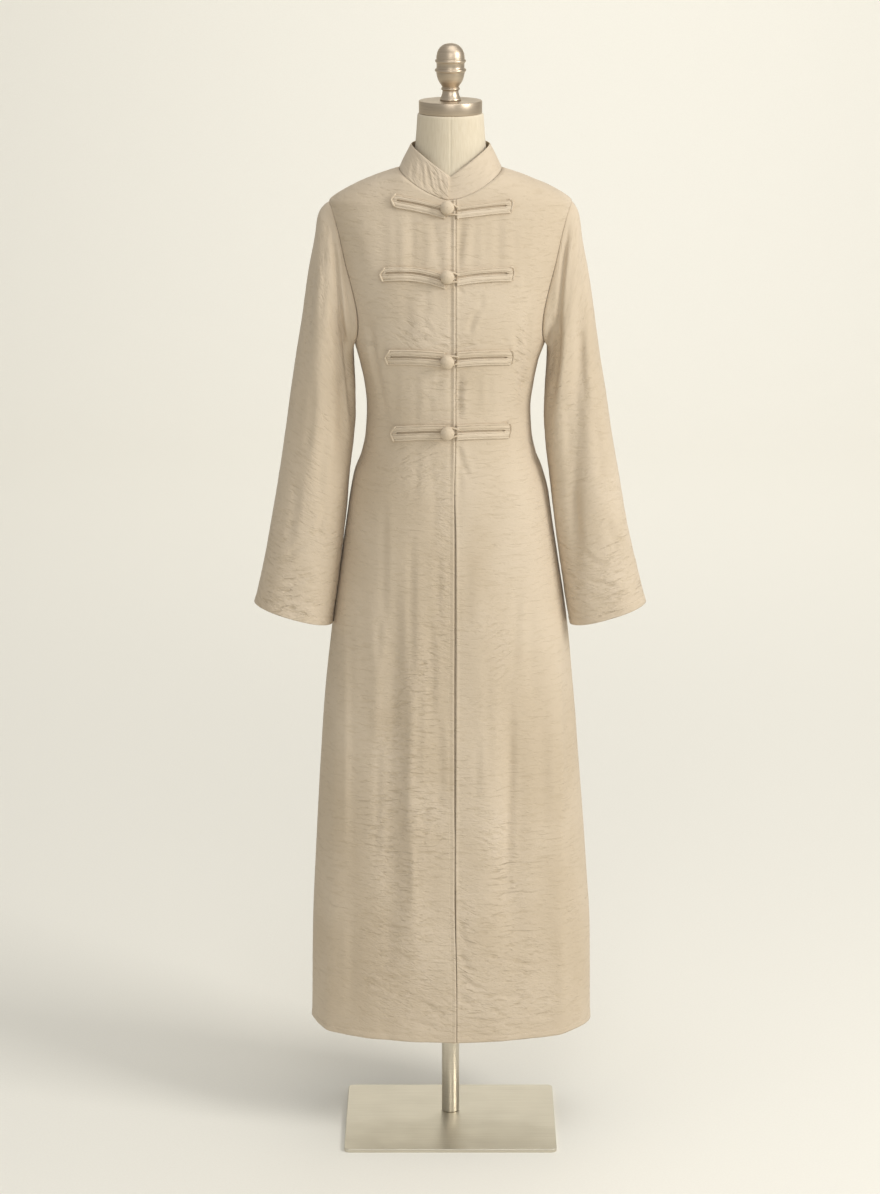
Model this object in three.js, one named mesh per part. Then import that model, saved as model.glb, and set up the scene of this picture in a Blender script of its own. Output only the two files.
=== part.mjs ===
// A front-closing abaya with a stand collar and frog closures, worn on a limbless dress form
// with a metal stand. Millimetres, +Z up. The garment faces -Y and the wearer's right is at -X.
// The origin is under the pole, on the surface that the base plate stands on.
import * as THREE from 'three';

// Cloth and seams
const WALL = 1.6; // crinkled cloth, as one wall
const SEAM_GAP = 0.3; // between two panels that a seam joins
const ARMHOLE_GAP = 1; // measured straight sideways, across a slanted seam
const COLLAR_GAP = 1.2; // the collar stands at an angle to the panels, so its seam is wider
const LIFT = 0.9; // what lies on a panel starts this far above it

// Levels of the garment, above the floor
const HEM_Z = 180;
const UNDERARM_Z = 1326;
const SHOULDER_Z = 1540;
const NECK_Z = 1592;
const NECK_HALF_WIDTH = 80;

// The opening: where the two front edges hang, right of the middle
const RIGHT_FRONT_EDGE_X = 7.4;
const LEFT_FRONT_EDGE_X = 9.6;

// Grids of the cloth walls
const SLEEVE_SIDES = 20;
const FRONT_COLUMNS = 10;
const BACK_COLUMNS = 18;
const SEAM_LEVELS = [
  180, 255, 340, 430, 520, 610, 700, 785, 865, 940, 1005, 1060, 1100, 1135, 1172, 1212, 1252, 1290,
];
const SHOULDER_LEVELS = [1553, 1567, 1580, 1592];

// A table is written as named columns and plain rows.
function table(columns, rows) {
  const names = columns.split(' ');
  return rows.map((row) => Object.fromEntries(names.map((name, i) => [name, row[i]])));
}

// Outline of the cloth round the body: half its width, how far its middle lies from x = 0, how
// far its front and back reach from the side seams, and how square the section is.
const BODY = table('level z half shift front back power', [
  ['hem', 180, 231.5, 1.5, 125, 122, 2.2],
  ['shin', 330, 229, 1, 124, 120, 2.2],
  ['knee', 485, 220.5, 0, 122, 118, 2.2],
  ['low thigh', 640, 209.5, -1.5, 120, 116, 2.2],
  ['thigh', 745, 201, -2, 119, 115, 2.2],
  ['cuff level', 861, 189, -1, 118, 114, 2.2],
  ['low hip', 970, 173.5, -1.5, 117, 113, 2.2],
  ['hip', 1040, 163, -2, 116, 111, 2.2],
  ['full hip', 1080, 157, -2, 115, 109, 2.2],
  ['high hip', 1113, 149, -3, 113, 104, 2.2],
  ['below waist', 1140, 138.5, -3, 111.5, 98, 2.2],
  ['low waist', 1175, 131.5, -3, 110, 92, 2.2],
  ['waist', 1215, 129.5, -3, 109.5, 88.5, 2.2],
  ['above waist', 1250, 133, -2.5, 113, 89, 2.25],
  ['under bust', 1290, 141, -2.5, 118.5, 92, 2.3],
  ['underarm', 1326, 151.5, -1, 121.5, 96, 2.3],
  ['bust', 1370, 158, 0, 120.5, 100, 2.3],
  ['chest', 1445, 176, 0, 108, 101, 2.3],
  ['high chest', 1490, 184.5, 0, 94, 97.5, 2.2],
  ['collar bone', 1520, 188, 0, 84, 90.5, 2.1],
  ['shoulder point', 1540, 189, 0, 77, 84, 2],
  ['shoulder end', 1549, 180, 0, 74, 80, 2],
  ['shoulder outer', 1556, 169, 0, 72, 77, 2],
  ['shoulder middle', 1566, 150, 0, 69.5, 73, 2],
  ['shoulder inner', 1575, 129, 0, 67, 69.5, 2],
  ['near the neck', 1584, 105.5, 0, 64.5, 66, 2],
  ['neck point', 1592, 80, 0, 62, 63, 2],
]);

// The dress form inside, in the same columns.
const FORM = table('level z half shift front back power', [
  ['underside', 955, 149, 0, 105, 99, 2.1],
  ['lower edge', 963, 153, 0, 109, 103, 2.1],
  ['seat', 1020, 154.5, 0, 110, 104, 2.1],
  ['full hip', 1080, 151.5, 0, 108.5, 102, 2.1],
  ['high hip', 1113, 142.5, 0, 106, 97, 2.1],
  ['below waist', 1140, 132, 0, 103.5, 91, 2.1],
  ['low waist', 1175, 124.5, 0, 100, 84.5, 2.1],
  ['waist', 1215, 122.5, 0, 99, 81, 2.1],
  ['above waist', 1250, 126, 0, 103, 81.5, 2.15],
  ['under bust', 1290, 133.5, 0, 109, 85, 2.2],
  ['underarm', 1326, 144.5, 0, 113, 89, 2.2],
  ['bust', 1370, 152, 0, 112.5, 93.5, 2.2],
  ['chest', 1445, 169.5, 0, 101, 95, 2.2],
  ['high chest', 1490, 178.5, 0, 88, 91.5, 2.1],
  ['collar bone', 1520, 182, 0, 78, 84.5, 2],
  ['shoulder point', 1540, 182, 0, 71, 78, 2],
  ['shoulder end', 1549, 172.5, 0, 68, 74, 2],
  ['shoulder outer', 1556, 161.5, 0, 66, 71, 2],
  ['shoulder middle', 1566, 140.5, 0, 63.5, 67, 2],
  ['shoulder inner', 1575, 117, 0, 60.5, 63.5, 2],
  ['near the neck', 1584, 91, 0, 57, 60.5, 2],
  ['neck point', 1592, 71.5, 0, 54.5, 58, 2],
  ['neck root', 1600, 62.5, 0, 53, 55.5, 2],
  ['low neck', 1612, 57, 0, 52, 53.5, 2],
  ['middle neck', 1632, 54.3, 0, 51.4, 52.4, 2],
  ['upper neck', 1656, 52.4, 0, 50.8, 51.4, 2],
  ['neck edge', 1674, 51, 0, 50.2, 50.6, 2],
  ['neck top', 1676, 49.6, 0, 48.8, 49.2, 2],
]);

// The largest folds of the body panels. Each runs from a top point to a low one, stands out by
// depth (a trough is negative), and is softened at its ends unless it runs into the hem.
const BODY_FOLDS = table('face xTop zTop xLow zLow width depth', [
  ['front', -166, 900, -196, 150, 26, 6],
  ['front', -87, 1010, -96, 330, 15, -9],
  ['front', -58, 930, -64, 230, 15, 5],
  ['front', 48, 1020, 56, 260, 24, 4],
  ['front', 95, 800, 106, 270, 13, -8],
  ['front', 158, 930, 184, 150, 24, 6],
  ['front', -134, 1390, -97, 1185, 10, -3],
  ['front', 124, 1390, 108, 1215, 10, -3],
  ['front', -52, 1530, -60, 1390, 12, -2],
  ['back', -112, 1010, -134, 150, 27, 6],
  ['back', -52, 1080, -66, 150, 19, -7],
  ['back', 2, 1010, 6, 150, 25, 6],
  ['back', 58, 1060, 70, 150, 18, -7],
  ['back', 118, 990, 138, 150, 26, 6],
  ['back', -64, 1420, -44, 1200, 15, -3],
  ['back', 66, 1410, 46, 1210, 15, -3],
]);

// A sleeve as slanted rings. Each ring has an outer point and an inner point in the plane
// y = 0 (the x of the inner and outer points is stated for the wearer's right and left sleeve),
// and reaches as far as depth to the front and back of its middle, which hangs forward.
const SLEEVE = table('at outerZ outerRight outerLeft innerZ innerRight innerLeft depth forward', [
  [0, 1540, 189, 189, 1326, 152, 152, 57, 0],
  [1, 1519, 205.5, 199, 1314, 153.5, 153.5, 59, 0],
  [2, 1478, 213, 206, 1297, 152.5, 151.5, 61, 1],
  [3, 1426, 223, 216, 1272, 151, 150, 62, 3],
  [4, 1364, 232, 226, 1241, 149.5, 148, 61, 5],
  [5, 1302, 242.5, 235, 1205, 149.5, 147.5, 59, 7],
  [6, 1238, 252.5, 246, 1166, 152.5, 149.5, 57, 9],
  [7, 1170, 262.5, 256.5, 1112, 160.5, 157, 55, 10],
  [8, 1100, 273.5, 269, 1052, 167, 164.5, 53, 11],
  [9, 1030, 285.5, 281, 990, 175.5, 174.5, 51, 12],
  [10, 962, 299, 297, 926, 184.5, 184.5, 50, 13],
  [11, 900, 313.5, 312.5, 864, 193.5, 194.5, 50, 14],
]);

// Folds of the sleeves: an angle round the ring (0 outside, 90 front, 180 inside, 270 back) at
// the start and the end of a stretch of ring positions, with a width in degrees.
const SLEEVE_FOLDS = table('side atTop angleTop atLow angleLow width depth', [
  ['right', 0.7, 98, 7.5, 140, 17, -9],
  ['right', 0.7, 58, 9.5, 96, 20, 4],
  ['right', 0.9, 250, 8.5, 226, 22, -8],
  ['right', 2.5, 292, 11.5, 276, 24, 4],
  ['left', 0.5, 122, 4.2, 150, 15, -7],
  ['left', 1.8, 50, 10.5, 136, 16, -9],
  ['left', 1.6, 84, 9.5, 170, 15, 4],
  ['left', 1.0, 246, 9.2, 216, 20, -8],
  ['left', 3.0, 290, 11.5, 274, 22, 4],
]);

// Frog closures: the height of the button, then for each side the height of the slot between
// the two legs at the opening, halfway and at the tip, where the tips are, and how wide the
// upper and the lower leg are.
const FROGS = table('z inRight midRight endRight inLeft midLeft endLeft tipRight tipLeft upper lower', [
  [1538, 1535, 1545, 1551, 1535, 1539.5, 1542.5, -92, 95, 7, 11],
  [1438, 1433, 1443.5, 1440, 1437.5, 1442.5, 1442, -109, 97, 8.5, 12],
  [1311, 1312.5, 1315.5, 1312, 1313, 1315, 1312, -101, 96, 11, 12],
  [1195.5, 1196, 1194.5, 1188.5, 1196, 1196, 1192, -93, 93, 11, 12.5],
]);
const STRIP_HEIGHT = 2.2;
const STRIP_PARTING = 1.6; // between the two legs of one frog
const STRIP_STATIONS = 6;
const TIP_MITRE = { buttonSide: 6.5, loopSide: 3 }; // how far the corners of a tip are cut back
const SLOT_FROM_MITRE = 5.9; // the slot between the legs ends this far inside the mitre
const SLOT_POINT = 1.2; // and runs on to a point
const BUTTON_X = -5;
const BUTTON_RADIUS = 10.8;
const BUTTON_HEIGHT = 18;
const BUTTON_SEAT = 0.4; // above the strips
const LEGS_END_UNDER_BUTTON_X = -8;
const LOOP_STARTS_X = LEFT_FRONT_EDGE_X + 1.2;

// Collar band
const COLLAR_TOP_HALF_WIDTH = 61.5;
const COLLAR_TOP_FRONT = 61.5;
const COLLAR_TOP_BACK = 58;
const COLLAR_TOP_Z = { middleFront: 1586, side: 1629.5, middleBack: 1634 };
const COLLAR_COLUMNS = 34;
const COLLAR_ROWS = 3;
const COLLAR_LAP = 1.05; // each lapped end stands off by this from the middle of the lap
const COLLAR_ENDS = { upperX: -3, underX: -11 };
const LAP_FADE = { upper: 0.05, under: 0.09 }; // shares of the band over which the lap is taken up

// Stand and fittings
const PLATE = { width: 348, depth: 258, thickness: 6, corner: 9, middleY: -29 };
const POLE_RADIUS = 14.5;
const CAP = { radius: 49, low: 1676.3, high: 1695.7, edge: 1.2 };
const FORM_SIDES = 26;
const TURNED_SIDES = 22;

const LINEN = new THREE.MeshStandardMaterial({ color: 0xd9c7a8, roughness: 0.85, metalness: 0 });
const TRIM = new THREE.MeshStandardMaterial({ color: 0xdccbae, roughness: 0.8, metalness: 0 });
const CANVAS = new THREE.MeshStandardMaterial({ color: 0xe6d9bf, roughness: 0.9, metalness: 0 });
const NICKEL = new THREE.MeshStandardMaterial({ color: 0xa89b8e, roughness: 0.35, metalness: 1 });
const STEEL = new THREE.MeshStandardMaterial({ color: 0xbdb5a5, roughness: 0.4, metalness: 1 });

const model = new THREE.Group();

function add(name, geometry, material) {
  const mesh = new THREE.Mesh(geometry, material);
  mesh.name = name;
  model.add(mesh);
  return mesh;
}

// A smooth curve through two columns of a table, which never overshoots between rows.
function columnCurve(rows, along, value) {
  const xs = rows.map((row) => row[along]);
  const ys = rows.map((row) => row[value]);
  const last = xs.length - 1;
  const rises = xs.slice(1).map((x, i) => (ys[i + 1] - ys[i]) / (x - xs[i]));
  const slopes = xs.map((_, i) => {
    const before = rises[Math.max(0, i - 1)];
    const after = rises[Math.min(last - 1, i)];
    return before * after <= 0 ? 0 : (2 * before * after) / (before + after);
  });
  return (x) => {
    let i = 0;
    while (i < last - 1 && x > xs[i + 1]) i += 1;
    const step = xs[i + 1] - xs[i];
    const t = THREE.MathUtils.clamp((x - xs[i]) / step, 0, 1);
    const start = (1 + 2 * t) * (1 - t) ** 2 * ys[i] + t * (1 - t) ** 2 * step * slopes[i];
    const end = t * t * (3 - 2 * t) * ys[i + 1] + t * t * (t - 1) * step * slopes[i + 1];
    return start + end;
  };
}

function columnCurves(rows, along, values) {
  return Object.fromEntries(values.map((name) => [name, columnCurve(rows, along, name)]));
}

const body = columnCurves(BODY, 'z', ['half', 'shift', 'front', 'back', 'power']);
const form = columnCurves(FORM, 'z', ['half', 'shift', 'front', 'back', 'power']);

function signedPower(value, power) {
  return Math.sign(value) * Math.abs(value) ** power;
}

// A point of a rounded section at height z. The angle is 0 at +X and -90 degrees at the front.
function sectionPoint(outline, angle, z) {
  const power = 2 / outline.power(z);
  const depth = Math.sin(angle) < 0 ? outline.front(z) : outline.back(z);
  const x = outline.shift(z) + outline.half(z) * signedPower(Math.cos(angle), power);
  return new THREE.Vector3(x, depth * signedPower(Math.sin(angle), power), z);
}

// The angle at which the cloth section at height z has this x, on its front or back.
function angleAt(face, x, z) {
  const share = THREE.MathUtils.clamp((x - body.shift(z)) / body.half(z), -1, 1);
  const angle = Math.acos(signedPower(share, body.power(z) / 2));
  return face === 'front' ? -angle : angle;
}

function softStep(t) {
  const s = THREE.MathUtils.clamp(t, 0, 1);
  return s * s * (3 - 2 * s);
}

const FOLD_FADE = 0.28; // share of a fold's length over which an end softens

function bodyFolds(angle, z) {
  const face = Math.sin(angle) < 0 ? 'front' : 'back';
  let out = 0;
  for (const fold of BODY_FOLDS) {
    const along = (z - fold.zLow) / (fold.zTop - fold.zLow);
    if (fold.face !== face || along <= 0 || along >= 1) continue;
    const middle = angleAt(face, THREE.MathUtils.lerp(fold.xLow, fold.xTop, along), z);
    const radius = (body.half(z) + (face === 'front' ? body.front(z) : body.back(z))) / 2;
    const across = ((angle - middle) * radius) / fold.width;
    const lowEnd = fold.zLow < HEM_Z ? 1 : softStep(along / FOLD_FADE);
    const ends = lowEnd * softStep((1 - along) / FOLD_FADE);
    out += fold.depth * ends * Math.exp(-across * across);
  }
  return out;
}

// A point of the cloth's outer surface.
function clothPoint(angle, z) {
  const folds = bodyFolds(angle, z);
  const outward = new THREE.Vector3(Math.cos(angle), Math.sin(angle), 0);
  return sectionPoint(body, angle, z).addScaledVector(outward, folds);
}

function clothNormal(angle, z) {
  const turn = 0.01;
  const rise = 1.5;
  const round = clothPoint(angle + turn, z).sub(clothPoint(angle - turn, z));
  const up = clothPoint(angle, z + rise).sub(clothPoint(angle, z - rise));
  return round.cross(up).normalize();
}

function clothSpot(face, x, z) {
  const angle = angleAt(face, x, z);
  return { point: clothPoint(angle, z), normal: clothNormal(angle, z) };
}

// The armhole: an angle round it (0 at the shoulder, 180 at the underarm) gives a height, and
// how far in front of or behind the side it is cut.
const ARMHOLE = { frontReach: 58, backReach: 54, lowCrowding: 1.6 };

function armholeSpot(face, degrees) {
  const lift = ((1 + Math.cos(THREE.MathUtils.degToRad(degrees))) / 2) ** ARMHOLE.lowCrowding;
  const widest = Math.sqrt(lift);
  const reach = face === 'front' ? ARMHOLE.frontReach : ARMHOLE.backReach;
  const z = THREE.MathUtils.lerp(UNDERARM_Z, SHOULDER_Z, lift);
  return { z, y: Math.max(SEAM_GAP / 2, reach * 2 * Math.sqrt(widest * (1 - widest))) };
}

// How far from the section's middle the cloth lies where it is this deep.
function halfWidthAtDepth(face, y, z) {
  const power = body.power(z);
  const share = y / (face === 'front' ? body.front(z) : body.back(z));
  return body.half(z) * (1 - share ** power) ** (1 / power);
}

// Rows of a body panel from the hem up: the outer end runs up the side seam, round the armhole
// and in along the shoulder seam; the inner end runs up the middle to the neck.
const MIDDLE = {
  front: { neck: 1552, atShoulder: 1508, neckPower: 1.65 },
  back: { neck: 1579, atShoulder: 1520, neckPower: 2 },
};

function panelRows(face) {
  const rows = SEAM_LEVELS.map((z) => ({ outer: z, inner: z, y: SEAM_GAP / 2 }));
  const steps = SLEEVE_SIDES / 2;
  const { neck, atShoulder } = MIDDLE[face];
  for (let i = 0; i <= steps; i += 1) {
    const { z, y } = armholeSpot(face, 180 - (180 * i) / steps);
    rows.push({ outer: z, inner: THREE.MathUtils.lerp(UNDERARM_Z, atShoulder, i / steps), y });
  }
  for (const z of SHOULDER_LEVELS) {
    const share = (z - SHOULDER_Z) / (NECK_Z - SHOULDER_Z);
    rows.push({ outer: z, inner: THREE.MathUtils.lerp(atShoulder, neck, share), y: SEAM_GAP / 2 });
  }
  return rows;
}

// A spot of a panel: across is 0 at x = 0 and 1 at the outer end, on the side given by sign.
function panelSpot(face, row, sign, insideX, across) {
  const outerX = body.shift(row.outer) + sign * halfWidthAtDepth(face, row.y, row.outer);
  const x = THREE.MathUtils.lerp(insideX, outerX, Math.sin((across * Math.PI) / 2));
  const share = Math.min(1, Math.abs(x / outerX));
  const z = THREE.MathUtils.lerp(row.inner, row.outer, share ** MIDDLE[face].neckPower);
  return clothSpot(face, x, z);
}

// A closed wall from a grid of outer points and their normals: the inner points lie one wall
// inside, and the free edges are closed by rims. A grid that is wrapped joins its last column
// to its first one.
function wallGeometry(grid, wrapped, outwardTurn) {
  const rows = grid.length;
  const columns = grid[0].length;
  const positions = [];
  for (const inside of [0, WALL]) {
    for (const row of grid) {
      for (const { point, normal } of row) {
        positions.push(...point.clone().addScaledVector(normal, -inside).toArray());
      }
    }
  }
  const faces = [];
  const quad = (a, b, c, d) => {
    const corners = outwardTurn ? [a, b, c, a, c, d] : [a, c, b, a, d, c];
    faces.push(...corners);
  };
  const at = (layer, row, column) => (layer * rows + row) * columns + (column % columns);
  const spans = wrapped ? columns : columns - 1;
  for (let r = 0; r < rows - 1; r += 1) {
    for (let c = 0; c < spans; c += 1) {
      quad(at(0, r, c), at(0, r, c + 1), at(0, r + 1, c + 1), at(0, r + 1, c));
      quad(at(1, r, c), at(1, r + 1, c), at(1, r + 1, c + 1), at(1, r, c + 1));
    }
  }
  for (let c = 0; c < spans; c += 1) {
    quad(at(0, 0, c), at(1, 0, c), at(1, 0, c + 1), at(0, 0, c + 1));
    quad(at(0, rows - 1, c), at(0, rows - 1, c + 1), at(1, rows - 1, c + 1), at(1, rows - 1, c));
  }
  for (let r = 0; r < rows - 1 && !wrapped; r += 1) {
    const end = columns - 1;
    quad(at(0, r, 0), at(0, r + 1, 0), at(1, r + 1, 0), at(1, r, 0));
    quad(at(0, r, end), at(1, r, end), at(1, r + 1, end), at(0, r + 1, end));
  }
  const geometry = new THREE.BufferGeometry();
  geometry.setAttribute('position', new THREE.Float32BufferAttribute(positions, 3));
  geometry.setIndex(faces);
  geometry.computeVertexNormals();
  return geometry;
}

// Fronts and back
function frontGrid(sign, insideX) {
  return panelRows('front').map((row) => {
    const spots = [];
    for (let i = 0; i <= FRONT_COLUMNS; i += 1) {
      spots.push(panelSpot('front', row, sign, insideX, i / FRONT_COLUMNS));
    }
    return sign < 0 ? spots.reverse() : spots;
  });
}

const backGrid = panelRows('back').map((row) => {
  const spots = [];
  const half = BACK_COLUMNS / 2;
  for (let i = -half; i <= half; i += 1) {
    spots.push(panelSpot('back', row, Math.sign(i) || 1, 0, Math.abs(i) / half));
  }
  return spots;
});

const frontRightGrid = frontGrid(-1, RIGHT_FRONT_EDGE_X);
const frontLeftGrid = frontGrid(1, LEFT_FRONT_EDGE_X);
const frontRight = add('front_right', wallGeometry(frontRightGrid, false, true), LINEN);
const frontLeft = add('front_left', wallGeometry(frontLeftGrid, false, true), LINEN);
add('back', wallGeometry(backGrid, false, false), LINEN);

// Sleeves: slanted rings that start on the armhole and leave its exact shape within two rings.
const SLEEVE_POWER = 2.15;
const SLEEVE_RINGS = [0, 0.45, 1, 1.6, 2.3, 3, 3.8, 4.6, 5.4, 6.2, 7, 7.8, 8.6, 9.4, 10.2, 11];
const ARMHOLE_FADE = 2.4; // ring positions over which the armhole's own shape is left
const SLEEVE_TURN = 3; // degrees to each side, for the direction round the sleeve
const SLEEVE_STEP = 0.04; // ring positions, for the direction down the sleeve
const SEAM_TURNS = { from: 80, over: 60 }; // degrees from the shoulder, see seamNormal

function sleeveRingPoint(side, at, degrees) {
  const tag = side === 'right' ? 'Right' : 'Left';
  const rings = columnCurves(SLEEVE, 'at', [
    'outerZ', `outer${tag}`, 'innerZ', `inner${tag}`, 'depth', 'forward',
  ]);
  const outer = new THREE.Vector3(rings[`outer${tag}`](at), 0, rings.outerZ(at));
  const inner = new THREE.Vector3(rings[`inner${tag}`](at), 0, rings.innerZ(at));
  const angle = THREE.MathUtils.degToRad(degrees);
  const reach = outer.clone().sub(inner).multiplyScalar(0.5);
  const power = 2 / SLEEVE_POWER;
  let fold = 0;
  for (const row of SLEEVE_FOLDS) {
    const along = (at - row.atTop) / (row.atLow - row.atTop);
    if (row.side !== side || along <= 0 || along >= 1) continue;
    const across = (degrees - THREE.MathUtils.lerp(row.angleTop, row.angleLow, along)) / row.width;
    const ends = softStep(along / FOLD_FADE) * softStep((1 - along) / FOLD_FADE);
    fold += row.depth * ends * Math.exp(-across * across);
  }
  const sideways = signedPower(Math.cos(angle), power);
  const point = inner.add(reach).addScaledVector(reach, sideways);
  point.y = -rings.forward(at) - rings.depth(at) * signedPower(Math.sin(angle), power);
  point.addScaledVector(reach.clone().normalize(), fold * Math.cos(angle));
  point.y -= fold * Math.sin(angle);
  return point;
}

function sleevePoint(side, at, degrees) {
  const sign = side === 'right' ? -1 : 1;
  const face = degrees <= 180 ? 'front' : 'back';
  const { z, y } = armholeSpot(face, Math.min(degrees, 360 - degrees));
  const armholeX = body.shift(z) + sign * halfWidthAtDepth(face, y, z);
  const seam = clothSpot(face, armholeX, z).point;
  seam.x = Math.abs(seam.x) + ARMHOLE_GAP;
  const fade = softStep(1 - at / ARMHOLE_FADE);
  const start = sleeveRingPoint(side, 0, degrees);
  const point = sleeveRingPoint(side, at, degrees).addScaledVector(seam.sub(start), fade);
  point.x *= sign;
  return point;
}

function sleeveNormal(side, at, degrees) {
  const sign = side === 'right' ? -1 : 1;
  const ahead = sleevePoint(side, at, (degrees + SLEEVE_TURN) % 360);
  const behind = sleevePoint(side, at, (degrees + 360 - SLEEVE_TURN) % 360);
  const low = Math.min(at + SLEEVE_STEP, SLEEVE_RINGS.at(-1));
  const high = Math.max(0, low - SLEEVE_STEP);
  const down = sleevePoint(side, low, degrees).sub(sleevePoint(side, high, degrees));
  const own = down.cross(ahead.sub(behind)).normalize().multiplyScalar(-sign);
  return at === 0 ? seamNormal(side, degrees, own) : own;
}

function sleeveGrid(side) {
  return SLEEVE_RINGS.map((at) => {
    const ring = [];
    for (let i = 0; i < SLEEVE_SIDES; i += 1) {
      const degrees = (360 * i) / SLEEVE_SIDES;
      ring.push({ point: sleevePoint(side, at, degrees), normal: sleeveNormal(side, at, degrees) });
    }
    return ring;
  });
}

// At the seam the sleeve's wall lies along the body's wall over the shoulder, and turns to the
// sleeve's own direction towards the underarm, where the two hang side by side.
function seamNormal(side, degrees, own) {
  const sign = side === 'right' ? -1 : 1;
  const fromTop = Math.min(degrees, 360 - degrees);
  const face = degrees <= 180 ? 'front' : 'back';
  const { z, y } = armholeSpot(face, fromTop);
  const x = body.shift(z) + sign * halfWidthAtDepth(face, y, z);
  const share = softStep((fromTop - SEAM_TURNS.from) / SEAM_TURNS.over);
  return clothSpot(face, x, z).normal.lerp(own, share).normalize();
}

add('sleeve_right', wallGeometry(sleeveGrid('right'), true, false), LINEN);
add('sleeve_left', wallGeometry(sleeveGrid('left'), true, true), LINEN);

// Collar: a band that stands on the neckline. Its ends lap in front, the wearer's right on top.
function necklineSpot(face, x) {
  const { neck, neckPower } = MIDDLE[face];
  const share = Math.min(1, Math.abs(x) / NECK_HALF_WIDTH);
  const z = THREE.MathUtils.lerp(neck, NECK_Z, share ** neckPower);
  return clothSpot(face, x, z);
}

function collarTop(angle) {
  const x = COLLAR_TOP_HALF_WIDTH * Math.cos(angle);
  const share = Math.abs(Math.cos(angle));
  const { middleFront, side, middleBack } = COLLAR_TOP_Z;
  const isFront = Math.sin(angle) < 0;
  const y = (isFront ? COLLAR_TOP_FRONT : COLLAR_TOP_BACK) * Math.sin(angle);
  const z = isFront
    ? THREE.MathUtils.lerp(middleFront, side, share)
    : THREE.MathUtils.lerp(middleBack, side, share * share);
  return new THREE.Vector3(x, y, z);
}

function collarPoint(share, rise) {
  const underEnd = -Math.acos(COLLAR_ENDS.underX / NECK_HALF_WIDTH);
  const upperEnd = 2 * Math.PI - Math.acos(COLLAR_ENDS.upperX / NECK_HALF_WIDTH);
  const angle = THREE.MathUtils.lerp(underEnd, upperEnd, share);
  const top = collarTop(angle);
  const face = Math.sin(angle) < 0 ? 'front' : 'back';
  const low = necklineSpot(face, NECK_HALF_WIDTH * Math.cos(angle)).point;
  const length = top.distanceTo(low);
  const start = COLLAR_GAP / length;
  const point = low.lerp(top, THREE.MathUtils.lerp(start, 1, rise));
  const fromUnder = softStep(1 - share / LAP_FADE.under);
  const fromUpper = softStep(1 - (1 - share) / LAP_FADE.upper);
  const stand = COLLAR_LAP * (fromUpper - fromUnder);
  return point.add(new THREE.Vector3(Math.cos(angle), Math.sin(angle), 0).multiplyScalar(stand));
}

const COLLAR_NUDGE = 0.004; // share of the band to each side, for the direction round it
const collarGrid = [];
for (let r = 0; r <= COLLAR_ROWS; r += 1) {
  const row = [];
  for (let c = 0; c <= COLLAR_COLUMNS; c += 1) {
    const share = c / COLLAR_COLUMNS;
    const rise = r / COLLAR_ROWS;
    const before = Math.max(0, share - COLLAR_NUDGE);
    const after = Math.min(1, share + COLLAR_NUDGE);
    const round = collarPoint(after, rise).sub(collarPoint(before, rise));
    const up = collarPoint(share, 1).sub(collarPoint(share, 0));
    row.push({ point: collarPoint(share, rise), normal: round.cross(up).normalize() });
  }
  collarGrid.push(row);
}
add('collar', wallGeometry(collarGrid, false, true), LINEN);

// Frog closures. What lies on a front is dropped onto its surface and moved out from there.
const dropper = new THREE.Raycaster();
const IN_FRONT_Y = -400;

function onFront(mesh, x, z) {
  dropper.set(new THREE.Vector3(x, IN_FRONT_Y, z), new THREE.Vector3(0, 1, 0));
  const { point } = dropper.intersectObject(mesh)[0];
  return { point, normal: clothSpot('front', x, z).normal };
}

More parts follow.
